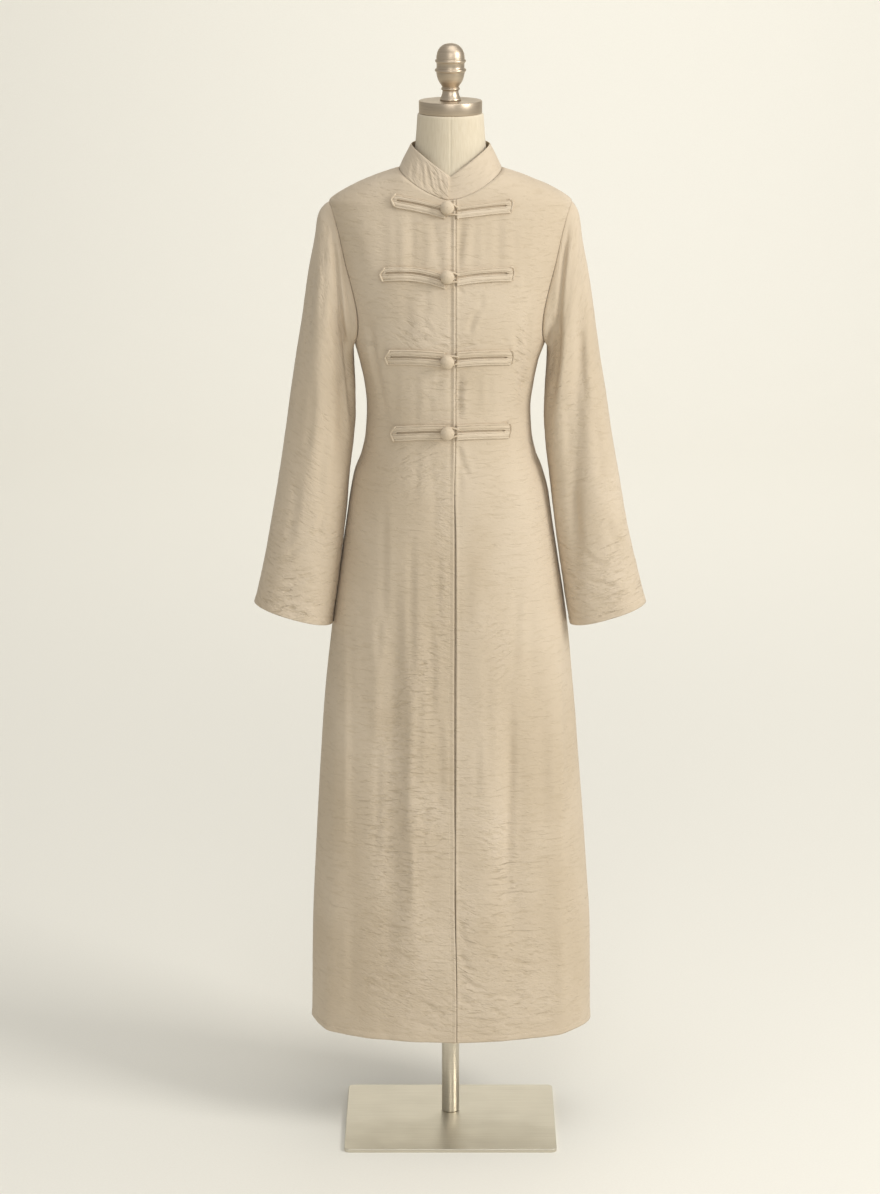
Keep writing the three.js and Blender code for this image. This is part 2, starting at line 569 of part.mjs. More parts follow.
// One folded strip: an upper leg, a mitred turn at the outer end and a lower leg. The slot
// between them is a slow curve through its heights at the opening, halfway and at the tip.
function frogGeometry(mesh, innerX, tipX, slot, legs, mitre) {
  const away = Math.sign(tipX - innerX);
  const cornerX = tipX - away * mitre;
  const slotX = tipX - away * (mitre + SLOT_FROM_MITRE);
  const slotEndX = slotX + away * SLOT_POINT;
  const curve = new THREE.QuadraticBezierCurve(
    new THREE.Vector2(innerX, slot.in),
    new THREE.Vector2((innerX + tipX) / 2, 2 * slot.mid - (slot.in + slot.end) / 2),
    new THREE.Vector2(tipX, slot.end),
  );
  const middle = (x) => curve.getPoint((x - innerX) / (tipX - innerX)).y;
  const stations = [];
  for (const leg of [1, -1]) {
    const reach = (leg > 0 ? legs.upper : legs.lower) + STRIP_PARTING / 2;
    const line = [];
    for (let i = 0; i <= STRIP_STATIONS; i += 1) {
      const share = i / STRIP_STATIONS;
      const outerX = THREE.MathUtils.lerp(innerX, cornerX, share);
      const insideX = THREE.MathUtils.lerp(innerX, slotX, share);
      line.push([
        [outerX, middle(outerX) + leg * reach],
        [insideX, middle(insideX) + (leg * STRIP_PARTING) / 2],
      ]);
    }
    if (leg > 0) stations.push(...line, [[tipX, middle(tipX)], [slotEndX, middle(slotX)]]);
    else stations.push(...line.reverse());
  }
  const positions = [];
  for (const [outer, inner] of stations) {
    for (const [[x, height], lift] of [
      [outer, LIFT], [outer, LIFT + STRIP_HEIGHT], [inner, LIFT + STRIP_HEIGHT], [inner, LIFT],
    ]) {
      const { point, normal } = onFront(mesh, x, height);
      positions.push(...point.addScaledVector(normal, lift).toArray());
    }
  }
  const faces = [];
  const quad = (a, b, c, d) => {
    faces.push(...(away < 0 ? [a, c, b, a, d, c] : [a, b, c, a, c, d]));
  };
  for (let i = 0; i < stations.length - 1; i += 1) {
    for (let k = 0; k < 4; k += 1) {
      const next = (k + 1) % 4;
      quad(4 * i + k, 4 * i + next, 4 * i + 4 + next, 4 * i + 4 + k);
    }
  }
  const end = 4 * (stations.length - 1);
  quad(0, 3, 2, 1);
  quad(end, end + 1, end + 2, end + 3);
  const geometry = new THREE.BufferGeometry();
  geometry.setAttribute('position', new THREE.Float32BufferAttribute(positions, 3));
  geometry.setIndex(faces);
  geometry.computeVertexNormals();
  return geometry;
}

// A covered ball button, turned round an axis that points out of the chest.
const BUTTON_SIDES = 16;
const BUTTON_STEPS = 7;

function buttonGeometry() {
  const points = [new THREE.Vector2(0, 0)];
  for (let i = 1; i < BUTTON_STEPS; i += 1) {
    const turn = (Math.PI * i) / BUTTON_STEPS;
    const height = (BUTTON_HEIGHT * (1 - Math.cos(turn))) / 2;
    points.push(new THREE.Vector2(BUTTON_RADIUS * Math.sin(turn), height));
  }
  points.push(new THREE.Vector2(0, BUTTON_HEIGHT));
  return new THREE.LatheGeometry(points, BUTTON_SIDES);
}

model.updateMatrixWorld(true);
FROGS.forEach((frog, i) => {
  const number = i + 1;
  const { buttonSide, loopSide } = TIP_MITRE;
  const right = { in: frog.inRight, mid: frog.midRight, end: frog.endRight };
  const left = { in: frog.inLeft, mid: frog.midLeft, end: frog.endLeft };
  const startX = LEGS_END_UNDER_BUTTON_X;
  const strips = frogGeometry(frontRight, startX, frog.tipRight, right, frog, buttonSide);
  const loop = frogGeometry(frontLeft, LOOP_STARTS_X, frog.tipLeft, left, frog, loopSide);
  add(`frog_button_side_${number}`, strips, TRIM);
  add(`frog_loop_side_${number}`, loop, TRIM);
  const { point, normal } = onFront(frontRight, BUTTON_X, frog.z);
  const button = add(`button_${number}`, buttonGeometry(), TRIM);
  button.quaternion.setFromUnitVectors(new THREE.Vector3(0, 1, 0), normal);
  button.position.copy(point.addScaledVector(normal, LIFT + STRIP_HEIGHT + BUTTON_SEAT));
});

// Dress form: one smooth closed body from its underside to the top of its neck.
function formGeometry() {
  const positions = [0, 0, FORM[0].z];
  for (const { z } of FORM) {
    for (let i = 0; i < FORM_SIDES; i += 1) {
      positions.push(...sectionPoint(form, (2 * Math.PI * i) / FORM_SIDES, z).toArray());
    }
  }
  const top = FORM.at(-1).z;
  positions.push(0, 0, top);
  const last = positions.length / 3 - 1;
  const at = (row, i) => 1 + row * FORM_SIDES + (i % FORM_SIDES);
  const faces = [];
  for (let i = 0; i < FORM_SIDES; i += 1) {
    faces.push(0, at(0, i + 1), at(0, i));
    faces.push(last, at(FORM.length - 1, i), at(FORM.length - 1, i + 1));
    for (let r = 0; r < FORM.length - 1; r += 1) {
      faces.push(at(r, i), at(r, i + 1), at(r + 1, i + 1));
      faces.push(at(r, i), at(r + 1, i + 1), at(r + 1, i));
    }
  }
  const geometry = new THREE.BufferGeometry();
  geometry.setAttribute('position', new THREE.Float32BufferAttribute(positions, 3));
  geometry.setIndex(faces);
  geometry.computeVertexNormals();
  return geometry;
}
add('dress_form', formGeometry(), CANVAS);

// Turned metal: the profile is a list of radius and height, and is turned round the pole's axis.
function turned(profile) {
  const points = profile.map(([radius, z]) => new THREE.Vector2(radius, z));
  return new THREE.LatheGeometry(points, TURNED_SIDES).rotateX(Math.PI / 2);
}

add('neck_cap', turned([
  [0, CAP.low],
  [CAP.radius - CAP.edge, CAP.low],
  [CAP.radius, CAP.low + CAP.edge],
  [CAP.radius, CAP.high - CAP.edge],
  [CAP.radius - CAP.edge, CAP.high],
  [0, CAP.high],
]), NICKEL);

// Finial: a flared foot, a thin waist, a bowl, two raised bands and an egg-shaped dome.
const FINIAL = table('radius z', [
  [0, 1696], [16.3, 1696], [16.3, 1698.5], [14.2, 1702], [12.4, 1707], [12.2, 1711], [14, 1714.5],
  [14.6, 1719], [18.6, 1724], [21.2, 1733], [22.3, 1738.5], [23.8, 1740], [23.8, 1744],
  [22.3, 1745.5], [22.2, 1753], [23.2, 1754.3], [23.2, 1758], [22.2, 1759.3], [21.6, 1765],
  [19.6, 1771], [16.2, 1776.3], [10.8, 1780.6], [5, 1782.6], [0, 1783],
]);
add('finial', turned(FINIAL.map(({ radius, z }) => [radius, z])), NICKEL);

// Stand
const poleLow = PLATE.thickness + SEAM_GAP;
const poleHigh = FORM[0].z - SEAM_GAP;
const poleProfile = [[0, poleLow], [POLE_RADIUS, poleLow], [POLE_RADIUS, poleHigh], [0, poleHigh]];
add('pole', turned(poleProfile), STEEL);

function plateGeometry() {
  const x = PLATE.width / 2;
  const y = PLATE.depth / 2;
  const r = PLATE.corner;
  const outline = new THREE.Shape();
  outline.moveTo(-x + r, -y);
  outline.lineTo(x - r, -y);
  outline.absarc(x - r, -y + r, r, -Math.PI / 2, 0);
  outline.lineTo(x, y - r);
  outline.absarc(x - r, y - r, r, 0, Math.PI / 2);
  outline.lineTo(-x + r, y);
  outline.absarc(-x + r, y - r, r, Math.PI / 2, Math.PI);
  outline.lineTo(-x, -y + r);
  outline.absarc(-x + r, -y + r, r, Math.PI, 1.5 * Math.PI);
  return new THREE.ExtrudeGeometry(outline, {
    depth: PLATE.thickness, bevelEnabled: false, curveSegments: 5,
  });
}
const plate = add('base_plate', plateGeometry(), STEEL);
plate.position.y = PLATE.middleY;

export default model;
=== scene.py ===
# %% [markdown]
# # A crinkled abaya on a dress form
# The object is a long front-closing garment of crinkled cloth with a stand collar, four frog
# closures and covered ball buttons. It hangs on a limbless dress form with a turned metal finial,
# and the form stands on a steel pole and plate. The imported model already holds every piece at
# its real size as a plain wall or solid, so this lesson keeps the places and gives each piece its
# cloth, creases, stitches or metal. It starts by loading that model as a fixed frame.

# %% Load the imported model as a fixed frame
import math

import bmesh
import bpy
import numpy as np
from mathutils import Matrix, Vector
from mathutils.bvhtree import BVHTree


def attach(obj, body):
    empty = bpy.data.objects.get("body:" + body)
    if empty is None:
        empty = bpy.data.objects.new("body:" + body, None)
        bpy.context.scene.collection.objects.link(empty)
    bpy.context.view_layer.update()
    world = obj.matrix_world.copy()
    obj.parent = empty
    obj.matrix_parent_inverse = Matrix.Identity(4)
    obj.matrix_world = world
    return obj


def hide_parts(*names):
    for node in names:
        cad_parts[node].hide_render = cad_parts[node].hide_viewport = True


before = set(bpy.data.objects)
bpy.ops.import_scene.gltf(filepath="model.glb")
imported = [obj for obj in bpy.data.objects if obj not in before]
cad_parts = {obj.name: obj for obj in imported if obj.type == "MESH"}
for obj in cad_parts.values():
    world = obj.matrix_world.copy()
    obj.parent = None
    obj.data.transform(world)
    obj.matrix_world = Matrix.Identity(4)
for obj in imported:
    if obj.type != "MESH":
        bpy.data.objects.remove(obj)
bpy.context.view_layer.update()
MM = 0.001  # the tables below are in millimetres, and Blender's scene is in metres

# %% [markdown]
# ## Building blocks for materials
# A shader graph is a list of nodes and links, so one helper that adds a node with its settings
# and links keeps each material short. Colours are written as the sRGB hex values that a colour
# picker shows, and one function turns them to the linear values that shaders work in.

# %% Helpers for materials
def linear(hex_colour):
    channels = [int(hex_colour[i:i + 2], 16) / 255 for i in (1, 3, 5)]
    return tuple(((c + 0.055) / 1.055) ** 2.4 if c > 0.04045 else c / 12.92 for c in channels) + (1.0,)


def add_node(tree, kind, settings=None, links=None):
    """Adds a shader node. Settings name its properties or inputs, and links say what feeds an input."""
    node = tree.nodes.new("ShaderNode" + kind)
    for name, value in (settings or {}).items():
        if isinstance(name, str) and hasattr(node, name):
            setattr(node, name, value)
        else:
            node.inputs[name].default_value = value
    for name, socket in (links or {}).items():
        tree.links.new(socket, node.inputs[name])
    return node


def new_material(name):
    """An empty material, ready for a surface."""
    material = bpy.data.materials.new(name)
    material.use_nodes = True
    material.node_tree.nodes.clear()
    return material, material.node_tree


def finish_material(tree, surface):
    add_node(tree, "OutputMaterial", links={"Surface": surface.outputs[0]})


def colour_ramp(tree, value, stops):
    """Turns a value into a colour through (place, hex colour) stops."""
    ramp = add_node(tree, "ValToRGB", links={"Fac": value})
    elements = ramp.color_ramp.elements
    for element, (place, colour) in zip(elements, (stops[0], stops[-1])):
        element.position = place
        element.color = linear(colour)
    for place, colour in stops[1:-1]:
        elements.new(place).color = linear(colour)
    return ramp.outputs["Color"]


def stretched_noise(tree, place, cell, detail, distortion):
    """Noise whose cells have the given size in metres along each axis of the place."""
    scale = tuple(1 / size for size in cell)
    scaled = add_node(tree, "VectorMath", {"operation": "MULTIPLY", 1: scale}, {0: place}).outputs[0]
    settings = {"Scale": 1.0, "Detail": detail, "Roughness": 0.55, "Distortion": distortion}
    return add_node(tree, "TexNoise", settings, {"Vector": scaled}).outputs["Fac"]


# %% [markdown]
# ## Crinkled crepe
# The real cloth is a viscose and linen crepe. Hard-twisted weft threads shrink after weaving
# and pull the cloth into short ripples that run across the garment, or aslant where it is drawn
# or hangs on the bias. Folds and creases are modelled in the mesh. Ripples of about 5 mm and the
# thread grain are bump, drawn from the cloth's own UV map, which is laid out in metres. The
# ripple height also sets the colour: painted shade in the valleys and painted light on the
# crests. Two vertex attributes steer the ripples: crinkle says how strongly a place ripples, and
# slant leans them to either side. The threads are about 0.4 mm apart, which a picture of the
# whole garment can't show, so the grain is drawn about twice as coarse.

# %% The cloth material
RIPPLE_CELL = (0.024, 0.0056, 1.0)   # metres: length of a ripple, and from one to the next
CROSS_CELL = (0.009, 0.0040, 1.0)    # shorter ripples that break up the long ones
GRAIN_CELL = (0.0020, 0.0009, 1.0)
SLANT = math.radians(27)             # lean of the ripples where slant is 1 or -1


def ripple_height(tree, uv, lean):
    """Ripples that lean by an angle: soft valleys with narrow crests."""
    turned = add_node(tree, "VectorRotate", {"rotation_type": "Z_AXIS", "Angle": lean}, {"Vector": uv})
    noise = stretched_noise(tree, turned.outputs[0], RIPPLE_CELL, 2.0, 0.7)
    limits = {"From Min": 0.25, "From Max": 0.75, "To Min": -1.0}
    signed = add_node(tree, "MapRange", limits, {"Value": noise})
    size = add_node(tree, "Math", {"operation": "ABSOLUTE"}, {0: signed.outputs[0]}).outputs[0]
    crest = add_node(tree, "Math", {"operation": "SUBTRACT", 0: 1.0}, {1: size}).outputs[0]
    return add_node(tree, "Mix", {"data_type": "FLOAT", 0: 0.22}, {2: noise, 3: crest}).outputs[0]


def leaning_ripples(tree, uv):
    """Blends upright and leaning ripples by the slant attribute."""
    slant = add_node(tree, "Attribute", {"attribute_name": "slant"}).outputs["Fac"]
    other = add_node(tree, "Math", {"operation": "MULTIPLY", 1: -1.0}, {0: slant}).outputs[0]
    flat, down, up = (ripple_height(tree, uv, lean) for lean in (0.0, SLANT, -SLANT))
    one = add_node(tree, "Mix", {"data_type": "FLOAT"}, {0: slant, 2: flat, 3: down}).outputs[0]
    return add_node(tree, "Mix", {"data_type": "FLOAT"}, {0: other, 2: one, 3: up}).outputs[0]


def crinkled_cloth(name, light, middle, dark, height, grain_height):
    """Crepe: matt, a little sheen from loose fibres, ripples and grain as bump, and painted shade in the
    ripples' valleys with painted light on their crests.
    """
    material, tree = new_material(name)
    uv = add_node(tree, "UVMap", {"uv_map": "cloth"}).outputs["UV"]
    strength = add_node(tree, "Attribute", {"attribute_name": "crinkle"}).outputs["Fac"]
    cross = stretched_noise(tree, uv, CROSS_CELL, 1.5, 0.5)
    ripple = add_node(tree, "Mix", {"data_type": "FLOAT", 0: 0.3}, {2: leaning_ripples(tree, uv), 3: cross})
    centred = add_node(tree, "Math", {"operation": "SUBTRACT", 1: 0.5}, {0: ripple.outputs[0]}).outputs[0]
    raised = add_node(tree, "Math", {"operation": "MULTIPLY"}, {0: centred, 1: strength}).outputs[0]
    grain = stretched_noise(tree, uv, GRAIN_CELL, 2.0, 0.0)
    # The ripple height, scaled by crinkle, also sets the colour from the dark to the light stop: painted
    # shade in the valleys, painted light on the crests.
    shade = add_node(tree, "MapRange", {"From Min": -0.22, "From Max": 0.22}, {"Value": raised}).outputs[0]
    ripple_painted_shade = colour_ramp(tree, shade, [(0.0, dark), (0.5, middle), (1.0, light)])
    patches = stretched_noise(tree, uv, (0.16, 0.24, 1.0), 2.0, 0.3)
    tone = colour_ramp(tree, patches, [(0.35, "#F4F2EE"), (0.65, "#FFFFFF")])
    tinted = add_node(tree, "Mix", {"data_type": "RGBA", "blend_type": "MULTIPLY", 0: 1.0},
                      {6: ripple_painted_shade, 7: tone}).outputs[2]
    ripples = add_node(tree, "Bump", {"Strength": 1.0, "Distance": height}, {"Height": raised})
    fine = add_node(tree, "Bump", {"Strength": 1.0, "Distance": grain_height},
                    {"Height": grain, "Normal": ripples.outputs[0]})
    settings = {"Roughness": 0.88, "IOR": 1.5, "Specular IOR Level": 0.2,
                "Sheen Weight": 0.12, "Sheen Roughness": 0.5}
    surface = add_node(tree, "BsdfPrincipled", settings, {"Base Color": tinted, "Normal": fine.outputs[0]})
    finish_material(tree, surface)
    return material


# Each cloth's light, middle and dark colours are for the ripples' crests, middle and valleys: the spread
# between them is painted light and painted shade.
CREPE = crinkled_cloth("crinkled_crepe", "#D6C6B2", "#CFBFA8", "#C3B29A", 0.0036, 0.00022)
TRIM = crinkled_cloth("crepe_bias_trim", "#DACAB5", "#D3C3AC", "#C2B198", 0.0020, 0.00026)
print("cloth materials:", CREPE.name, TRIM.name)

# %% [markdown]
# ## Canvas, satin nickel, brushed steel and thread
# The form is covered in bleached cotton canvas, a plain weave that shows as a faint even grain.
# The cap and finial are turned brass with a satin nickel plate: turning leaves fine rings round
# the axis. The plate and pole are brushed stainless steel: the plate's scratches run along its
# length, and the pole's run round it. A metal's colour is its reflection, so it keeps the
# default IOR and only gets a tint and a roughness. The sewing thread is mercerised cotton.

# %% Canvas, metals and thread
CANVAS_THREAD = 0.0011  # metres, drawn about twice as coarse as the real thread


def canvas(name):
    """Plain-weave cotton: two sets of threads as crossed waves."""
    material, tree = new_material(name)
    uv = add_node(tree, "UVMap", {"uv_map": "cloth"}).outputs["UV"]
    scale = math.tau / (CANVAS_THREAD * 20)
    waves = [
        add_node(tree, "TexWave", {"bands_direction": direction, "Scale": scale, "Distortion": 0.6},
                 {"Vector": uv}).outputs["Fac"]
        for direction in ("X", "Y")
    ]
    weave = add_node(tree, "Math", {"operation": "MULTIPLY"}, {0: waves[0], 1: waves[1]}).outputs[0]
    slubs = stretched_noise(tree, uv, (0.0016, 0.022, 1.0), 3.0, 0.3)
    colour = colour_ramp(tree, slubs, [(0.3, "#D2C4AA"), (0.7, "#DED2BB")])
    bump = add_node(tree, "Bump", {"Strength": 0.6, "Distance": 0.0002}, {"Height": weave})
    surface = add_node(tree, "BsdfPrincipled", {"Roughness": 0.9, "IOR": 1.5, "Sheen Weight": 0.1},
                       {"Base Color": colour, "Normal": bump.outputs[0]})
    finish_material(tree, surface)
    return material


def brushed_metal(name, light, dark, roughness, streak, height):
    """Metal with brush or turning marks: noise stretched along the marks, in metres."""
    material, tree = new_material(name)
    place = add_node(tree, "TexCoord").outputs["Object"]
    marks = stretched_noise(tree, place, streak, 3.0, 0.0)
    clouds = stretched_noise(tree, place, (0.05, 0.05, 0.05), 2.0, 0.0)
    colour = colour_ramp(tree, marks, [(0.3, dark), (0.7, light)])
    low, high = roughness
    worn = add_node(tree, "MapRange", {"From Min": 0.3, "From Max": 0.7, "To Min": low, "To Max": high},
                    {"Value": clouds}).outputs[0]
    bump = add_node(tree, "Bump", {"Strength": 0.5, "Distance": height}, {"Height": marks})
    surface = add_node(tree, "BsdfPrincipled", {"Metallic": 1.0},
                       {"Base Color": colour, "Roughness": worn, "Normal": bump.outputs[0]})
    finish_material(tree, surface)
    return material


def cotton_thread(name):
    """Twisted thread, a touch lighter than the cloth."""
    material, tree = new_material(name)
    place = add_node(tree, "TexCoord").outputs["Object"]
    twist = stretched_noise(tree, place, (0.0006, 0.0006, 0.0006), 1.0, 0.0)
    colour = colour_ramp(tree, twist, [(0.3, "#D3C3A9"), (0.7, "#E6DAC6")])
    surface = add_node(tree, "BsdfPrincipled", {"Roughness": 0.7, "IOR": 1.5}, {"Base Color": colour})
    finish_material(tree, surface)
    return material


CANVAS = canvas("bleached_cotton_canvas")
NICKEL = brushed_metal("satin_nickel_plate", "#CFBFAA", "#BCAC96", (0.36, 0.46),
                       (0.05, 0.05, 0.0009), 0.00004)
STEEL_PLATE = brushed_metal("brushed_stainless_plate", "#DDD7C8", "#D2CBBB", (0.34, 0.42),
                            (0.09, 0.0011, 0.0011), 0.00005)
STEEL_TUBE = brushed_metal("brushed_stainless_tube", "#D9D2C3", "#CCC4B4", (0.30, 0.38),
                           (0.05, 0.05, 0.0010), 0.00004)
THREAD = cotton_thread("mercerised_thread")
print("other materials:", CANVAS.name, NICKEL.name, STEEL_PLATE.name, STEEL_TUBE.name, THREAD.name)

# %% [markdown]
# ## Studio, lights and camera
# The garment is photographed against a seamless off-white sweep in soft light that comes from
# the viewer's right and from a little above. A sweep is a floor that curves up into a wall, so
# no horizon shows from the front. Its wall stands far back, so that a camera behind the form is
# still in front of it, and it has a light of its own. The camera looks down a little from above
# the form's neck, through a long lens.

# %% Floor sweep
SWEEP_HALF_WIDTH = 11.0
SWEEP_FRONT = -12.0
SWEEP_WALL = 7.4     # farther than any camera round the form stands
SWEEP_TOP = 6.0
SWEEP_RADIUS = 2.4
SWEEP_STEPS = 16


def studio_sweep():
    """A floor, a quarter round and a wall as one smooth strip."""
    profile = [(SWEEP_FRONT, 0.0), (SWEEP_WALL - SWEEP_RADIUS, 0.0)]
    for i in range(1, SWEEP_STEPS + 1):
        turn = math.pi / 2 * i / SWEEP_STEPS
        y = SWEEP_WALL - SWEEP_RADIUS * (1 - math.sin(turn))
        profile.append((y, SWEEP_RADIUS * (1 - math.cos(turn))))
    profile.append((SWEEP_WALL, SWEEP_TOP))
    points = [(x, y, z) for y, z in profile for x in (-SWEEP_HALF_WIDTH, SWEEP_HALF_WIDTH)]
    faces = [(2 * i, 2 * i + 1, 2 * i + 3, 2 * i + 2) for i in range(len(profile) - 1)]
    mesh = bpy.data.meshes.new("studio_sweep")
    mesh.from_pydata(points, [], faces)
    mesh.polygons.foreach_set("use_smooth", [True] * len(mesh.polygons))
    sweep = bpy.data.objects.new("studio_sweep", mesh)
    bpy.context.scene.collection.objects.link(sweep)
    material, tree = new_material("off_white_paper")
    place = add_node(tree, "TexCoord").outputs["Object"]
    grain = stretched_noise(tree, place, (0.004, 0.004, 0.004), 2.0, 0.0)
    colour = colour_ramp(tree, grain, [(0.3, "#F0ECE2"), (0.7, "#F2EFE5")])
    surface = add_node(tree, "BsdfPrincipled", {"Roughness": 0.95, "Specular IOR Level": 0.1},
                       {"Base Color": colour})
    finish_material(tree, surface)
    mesh.materials.append(material)


studio_sweep()

# %% Lights
def soft_light(name, place, target, size, power, colour):
    """A square studio light that faces a target."""
    light = bpy.data.lights.new(name, "AREA")
    light.shape = "SQUARE"
    light.size = size
    light.energy = power
    light.color = linear(colour)[:3]
    lamp = bpy.data.objects.new(name, light)
    lamp.location = place
    lamp.rotation_euler = (Vector(target) - Vector(place)).to_track_quat("-Z", "Y").to_euler()
    bpy.context.scene.collection.objects.link(lamp)
    return lamp


soft_light("key_softbox", (3.9, -2.1, 3.2), (0, 0, 1.5), 1.7, 134, "#FFFEFB")
soft_light("front_softbox", (0.2, -5.0, 3.5), (0, 0, 1.5), 2.2, 52, "#FFFEFC")
soft_light("top_softbox", (0.6, -0.4, 4.4), (0, 0.1, 0.8), 2.4, 35, "#FFFFFF")
soft_light("sweep_softbox", (0.8, 4.2, 4.4), (0.3, 6.6, 1.2), 3.0, 88, "#FFFEFC")

world = bpy.data.worlds.new("studio_air")
bpy.context.scene.world = world
world.use_nodes = True
background = world.node_tree.nodes["Background"]
background.inputs["Color"].default_value = linear("#FCFCFA")
background.inputs["Strength"].default_value = 0.46
bpy.context.scene.view_settings.view_transform = "Standard"

# %% Camera
CAMERA_BACK = 5.0       # metres in front of the pole
CAMERA_HEIGHT = 2.28
CAMERA_PITCH = math.radians(15.43)  # below the horizon
FRAME_HEIGHT = 1194     # the picture's long side in pixels
FOCAL = 3222            # the lens in the same pixels, from the size of the form's parts
POLE_RIGHT_OF_MIDDLE = 10.5  # pixels by which the pole stands right of the picture's middle
camera_data = bpy.data.cameras.new("camera")
camera_data.sensor_width = 36.0
camera_data.lens = camera_data.sensor_width * FOCAL / FRAME_HEIGHT
camera_data.shift_x = -POLE_RIGHT_OF_MIDDLE / FRAME_HEIGHT
camera = bpy.data.objects.new("camera", camera_data)
camera.location = (0, -CAMERA_BACK, CAMERA_HEIGHT)
camera.rotation_euler = (math.pi / 2 - CAMERA_PITCH, 0, 0)
bpy.context.scene.collection.objects.link(camera)
bpy.context.scene.camera = camera
print(f"lens {camera_data.lens:.1f} mm, camera {camera.location[:]}")

# %% [markdown]
# ## The garment's sections
# Cloth on a form is a stack of rounded sections. Each row of the table below gives, at one
# height, half the width, how far the middle lies to the side, how far the front and back reach
# out, and how square the section is. A smooth curve runs through each column. These are the same
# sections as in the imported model, so the fine cloth lies where its plain wall does.

# %% Section tables and the curves through them
HEM_Z = 180
UNDERARM_Z = 1326
SHOULDER_Z = 1540
NECK_Z = 1592
NECK_HALF_WIDTH = 80


def table(columns, rows):
    names = columns.split()
    return [dict(zip(names, row)) for row in rows]


BODY = table("z half shift front back power", [
    (180, 231.5, 1.5, 125, 122, 2.2),
    (330, 229, 1, 124, 120, 2.2),
    (485, 220.5, 0, 122, 118, 2.2),
    (640, 209.5, -1.5, 120, 116, 2.2),
    (745, 201, -2, 119, 115, 2.2),
    (861, 189, -1, 118, 114, 2.2),
    (970, 173.5, -1.5, 117, 113, 2.2),
    (1040, 163, -2, 116, 111, 2.2),
    (1080, 157, -2, 115, 109, 2.2),
    (1113, 149, -3, 113, 104, 2.2),
    (1140, 138.5, -3, 111.5, 98, 2.2),
    (1175, 131.5, -3, 110, 92, 2.2),
    (1215, 129.5, -3, 109.5, 88.5, 2.2),
    (1250, 133, -2.5, 113, 89, 2.25),
    (1290, 141, -2.5, 118.5, 92, 2.3),
    (1326, 151.5, -1, 121.5, 96, 2.3),
    (1370, 158, 0, 120.5, 100, 2.3),
    (1445, 176, 0, 108, 101, 2.3),
    (1490, 184.5, 0, 94, 97.5, 2.2),
    (1520, 188, 0, 84, 90.5, 2.1),
    (1540, 189, 0, 77, 84, 2),
    (1549, 180, 0, 74, 80, 2),
    (1556, 169, 0, 72, 77, 2),
    (1566, 150, 0, 69.5, 73, 2),
    (1575, 129, 0, 67, 69.5, 2),
    (1584, 105.5, 0, 64.5, 66, 2),
    (1592, 80, 0, 62, 63, 2),
])


def soft_step(t):
    s = np.clip(t, 0, 1)
    return s * s * (3 - 2 * s)


def lerp(a, b, t):
    return a + (b - a) * t


def signed_power(value, power):
    return np.sign(value) * np.abs(value) ** power


def column_curve(rows, along, value):
    """A smooth curve through two columns, which never overshoots between rows."""
    xs = np.array([row[along] for row in rows], float)
    ys = np.array([row[value] for row in rows], float)
    rises = np.diff(ys) / np.diff(xs)
    before = np.concatenate([rises[:1], rises])
    after = np.concatenate([rises, rises[-1:]])
    total = np.where(before + after == 0, 1, before + after)
    slopes = np.where(before * after <= 0, 0, 2 * before * after / total)

    def curve(x):
        i = np.clip(np.searchsorted(xs, x, side="right") - 1, 0, len(xs) - 2)
        step = xs[i + 1] - xs[i]
        t = np.clip((x - xs[i]) / step, 0, 1)
        start = (1 + 2 * t) * (1 - t) ** 2 * ys[i] + t * (1 - t) ** 2 * step * slopes[i]
        return start + t * t * (3 - 2 * t) * ys[i + 1] + t * t * (t - 1) * step * slopes[i + 1]

    return curve


def column_curves(rows, along):
    return {name: column_curve(rows, along, name) for name in rows[0] if name != along}


body = column_curves(BODY, "z")
print("hem", 2 * float(body["half"](HEM_Z)), "mm wide, shoulders", 2 * float(body["half"](SHOULDER_Z)))

# %% [markdown]
# ## The main folds
# A skirt that hangs from the hips falls into a few long soft folds. Each row here is one fold
# of the front or back, from a top point to a low one, with its half-width and how far it stands
# out. A trough has a negative depth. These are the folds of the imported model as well, apart from
# the front's two deep troughs. They are 5.5 and 5 mm deep here and 9 and 8 mm there, and a few
# millimetres wider here, because the photo's soft light shows them so.

# %% Main folds and the surface that they shape
FOLD_FADE = 0.28  # share of a fold's length over which an end softens

BODY_FOLDS = table("face x_top z_top x_low z_low width depth", [
    ("front", -166, 900, -196, 150, 26, 6),
    ("front", -87, 1010, -96, 330, 18, -5.5),
    ("front", -58, 930, -64, 230, 15, 5),
    ("front", 48, 1020, 56, 260, 24, 4),
    ("front", 95, 800, 106, 270, 17, -5),
    ("front", 158, 930, 184, 150, 24, 6),
    ("front", -134, 1390, -97, 1185, 10, -3),
    ("front", 124, 1390, 108, 1215, 10, -3),
    ("front", -52, 1530, -60, 1390, 12, -2),
    ("back", -112, 1010, -134, 150, 27, 6),
    ("back", -52, 1080, -66, 150, 19, -7),
    ("back", 2, 1010, 6, 150, 25, 6),
    ("back", 58, 1060, 70, 150, 18, -7),
    ("back", 118, 990, 138, 150, 26, 6),
    ("back", -64, 1420, -44, 1200, 15, -3),
    ("back", 66, 1410, 46, 1210, 15, -3),
])


def section_point(outline, angle, z):
    """A point of a rounded section. The angle is 0 at +X and -90 degrees at the front."""
    power = 2 / outline["power"](z)
    depth = np.where(np.sin(angle) < 0, outline["front"](z), outline["back"](z))
    x = outline["shift"](z) + outline["half"](z) * signed_power(np.cos(angle), power)
    y = depth * signed_power(np.sin(angle), power)
    return np.stack([x, y, z + 0 * x], axis=-1)


def angle_at(face, x, z):
    """The angle at which the cloth section at height z has this x."""
    share = np.clip((x - body["shift"](z)) / body["half"](z), -1, 1)
    angle = np.arccos(signed_power(share, body["power"](z) / 2))
    return -angle if face == "front" else angle


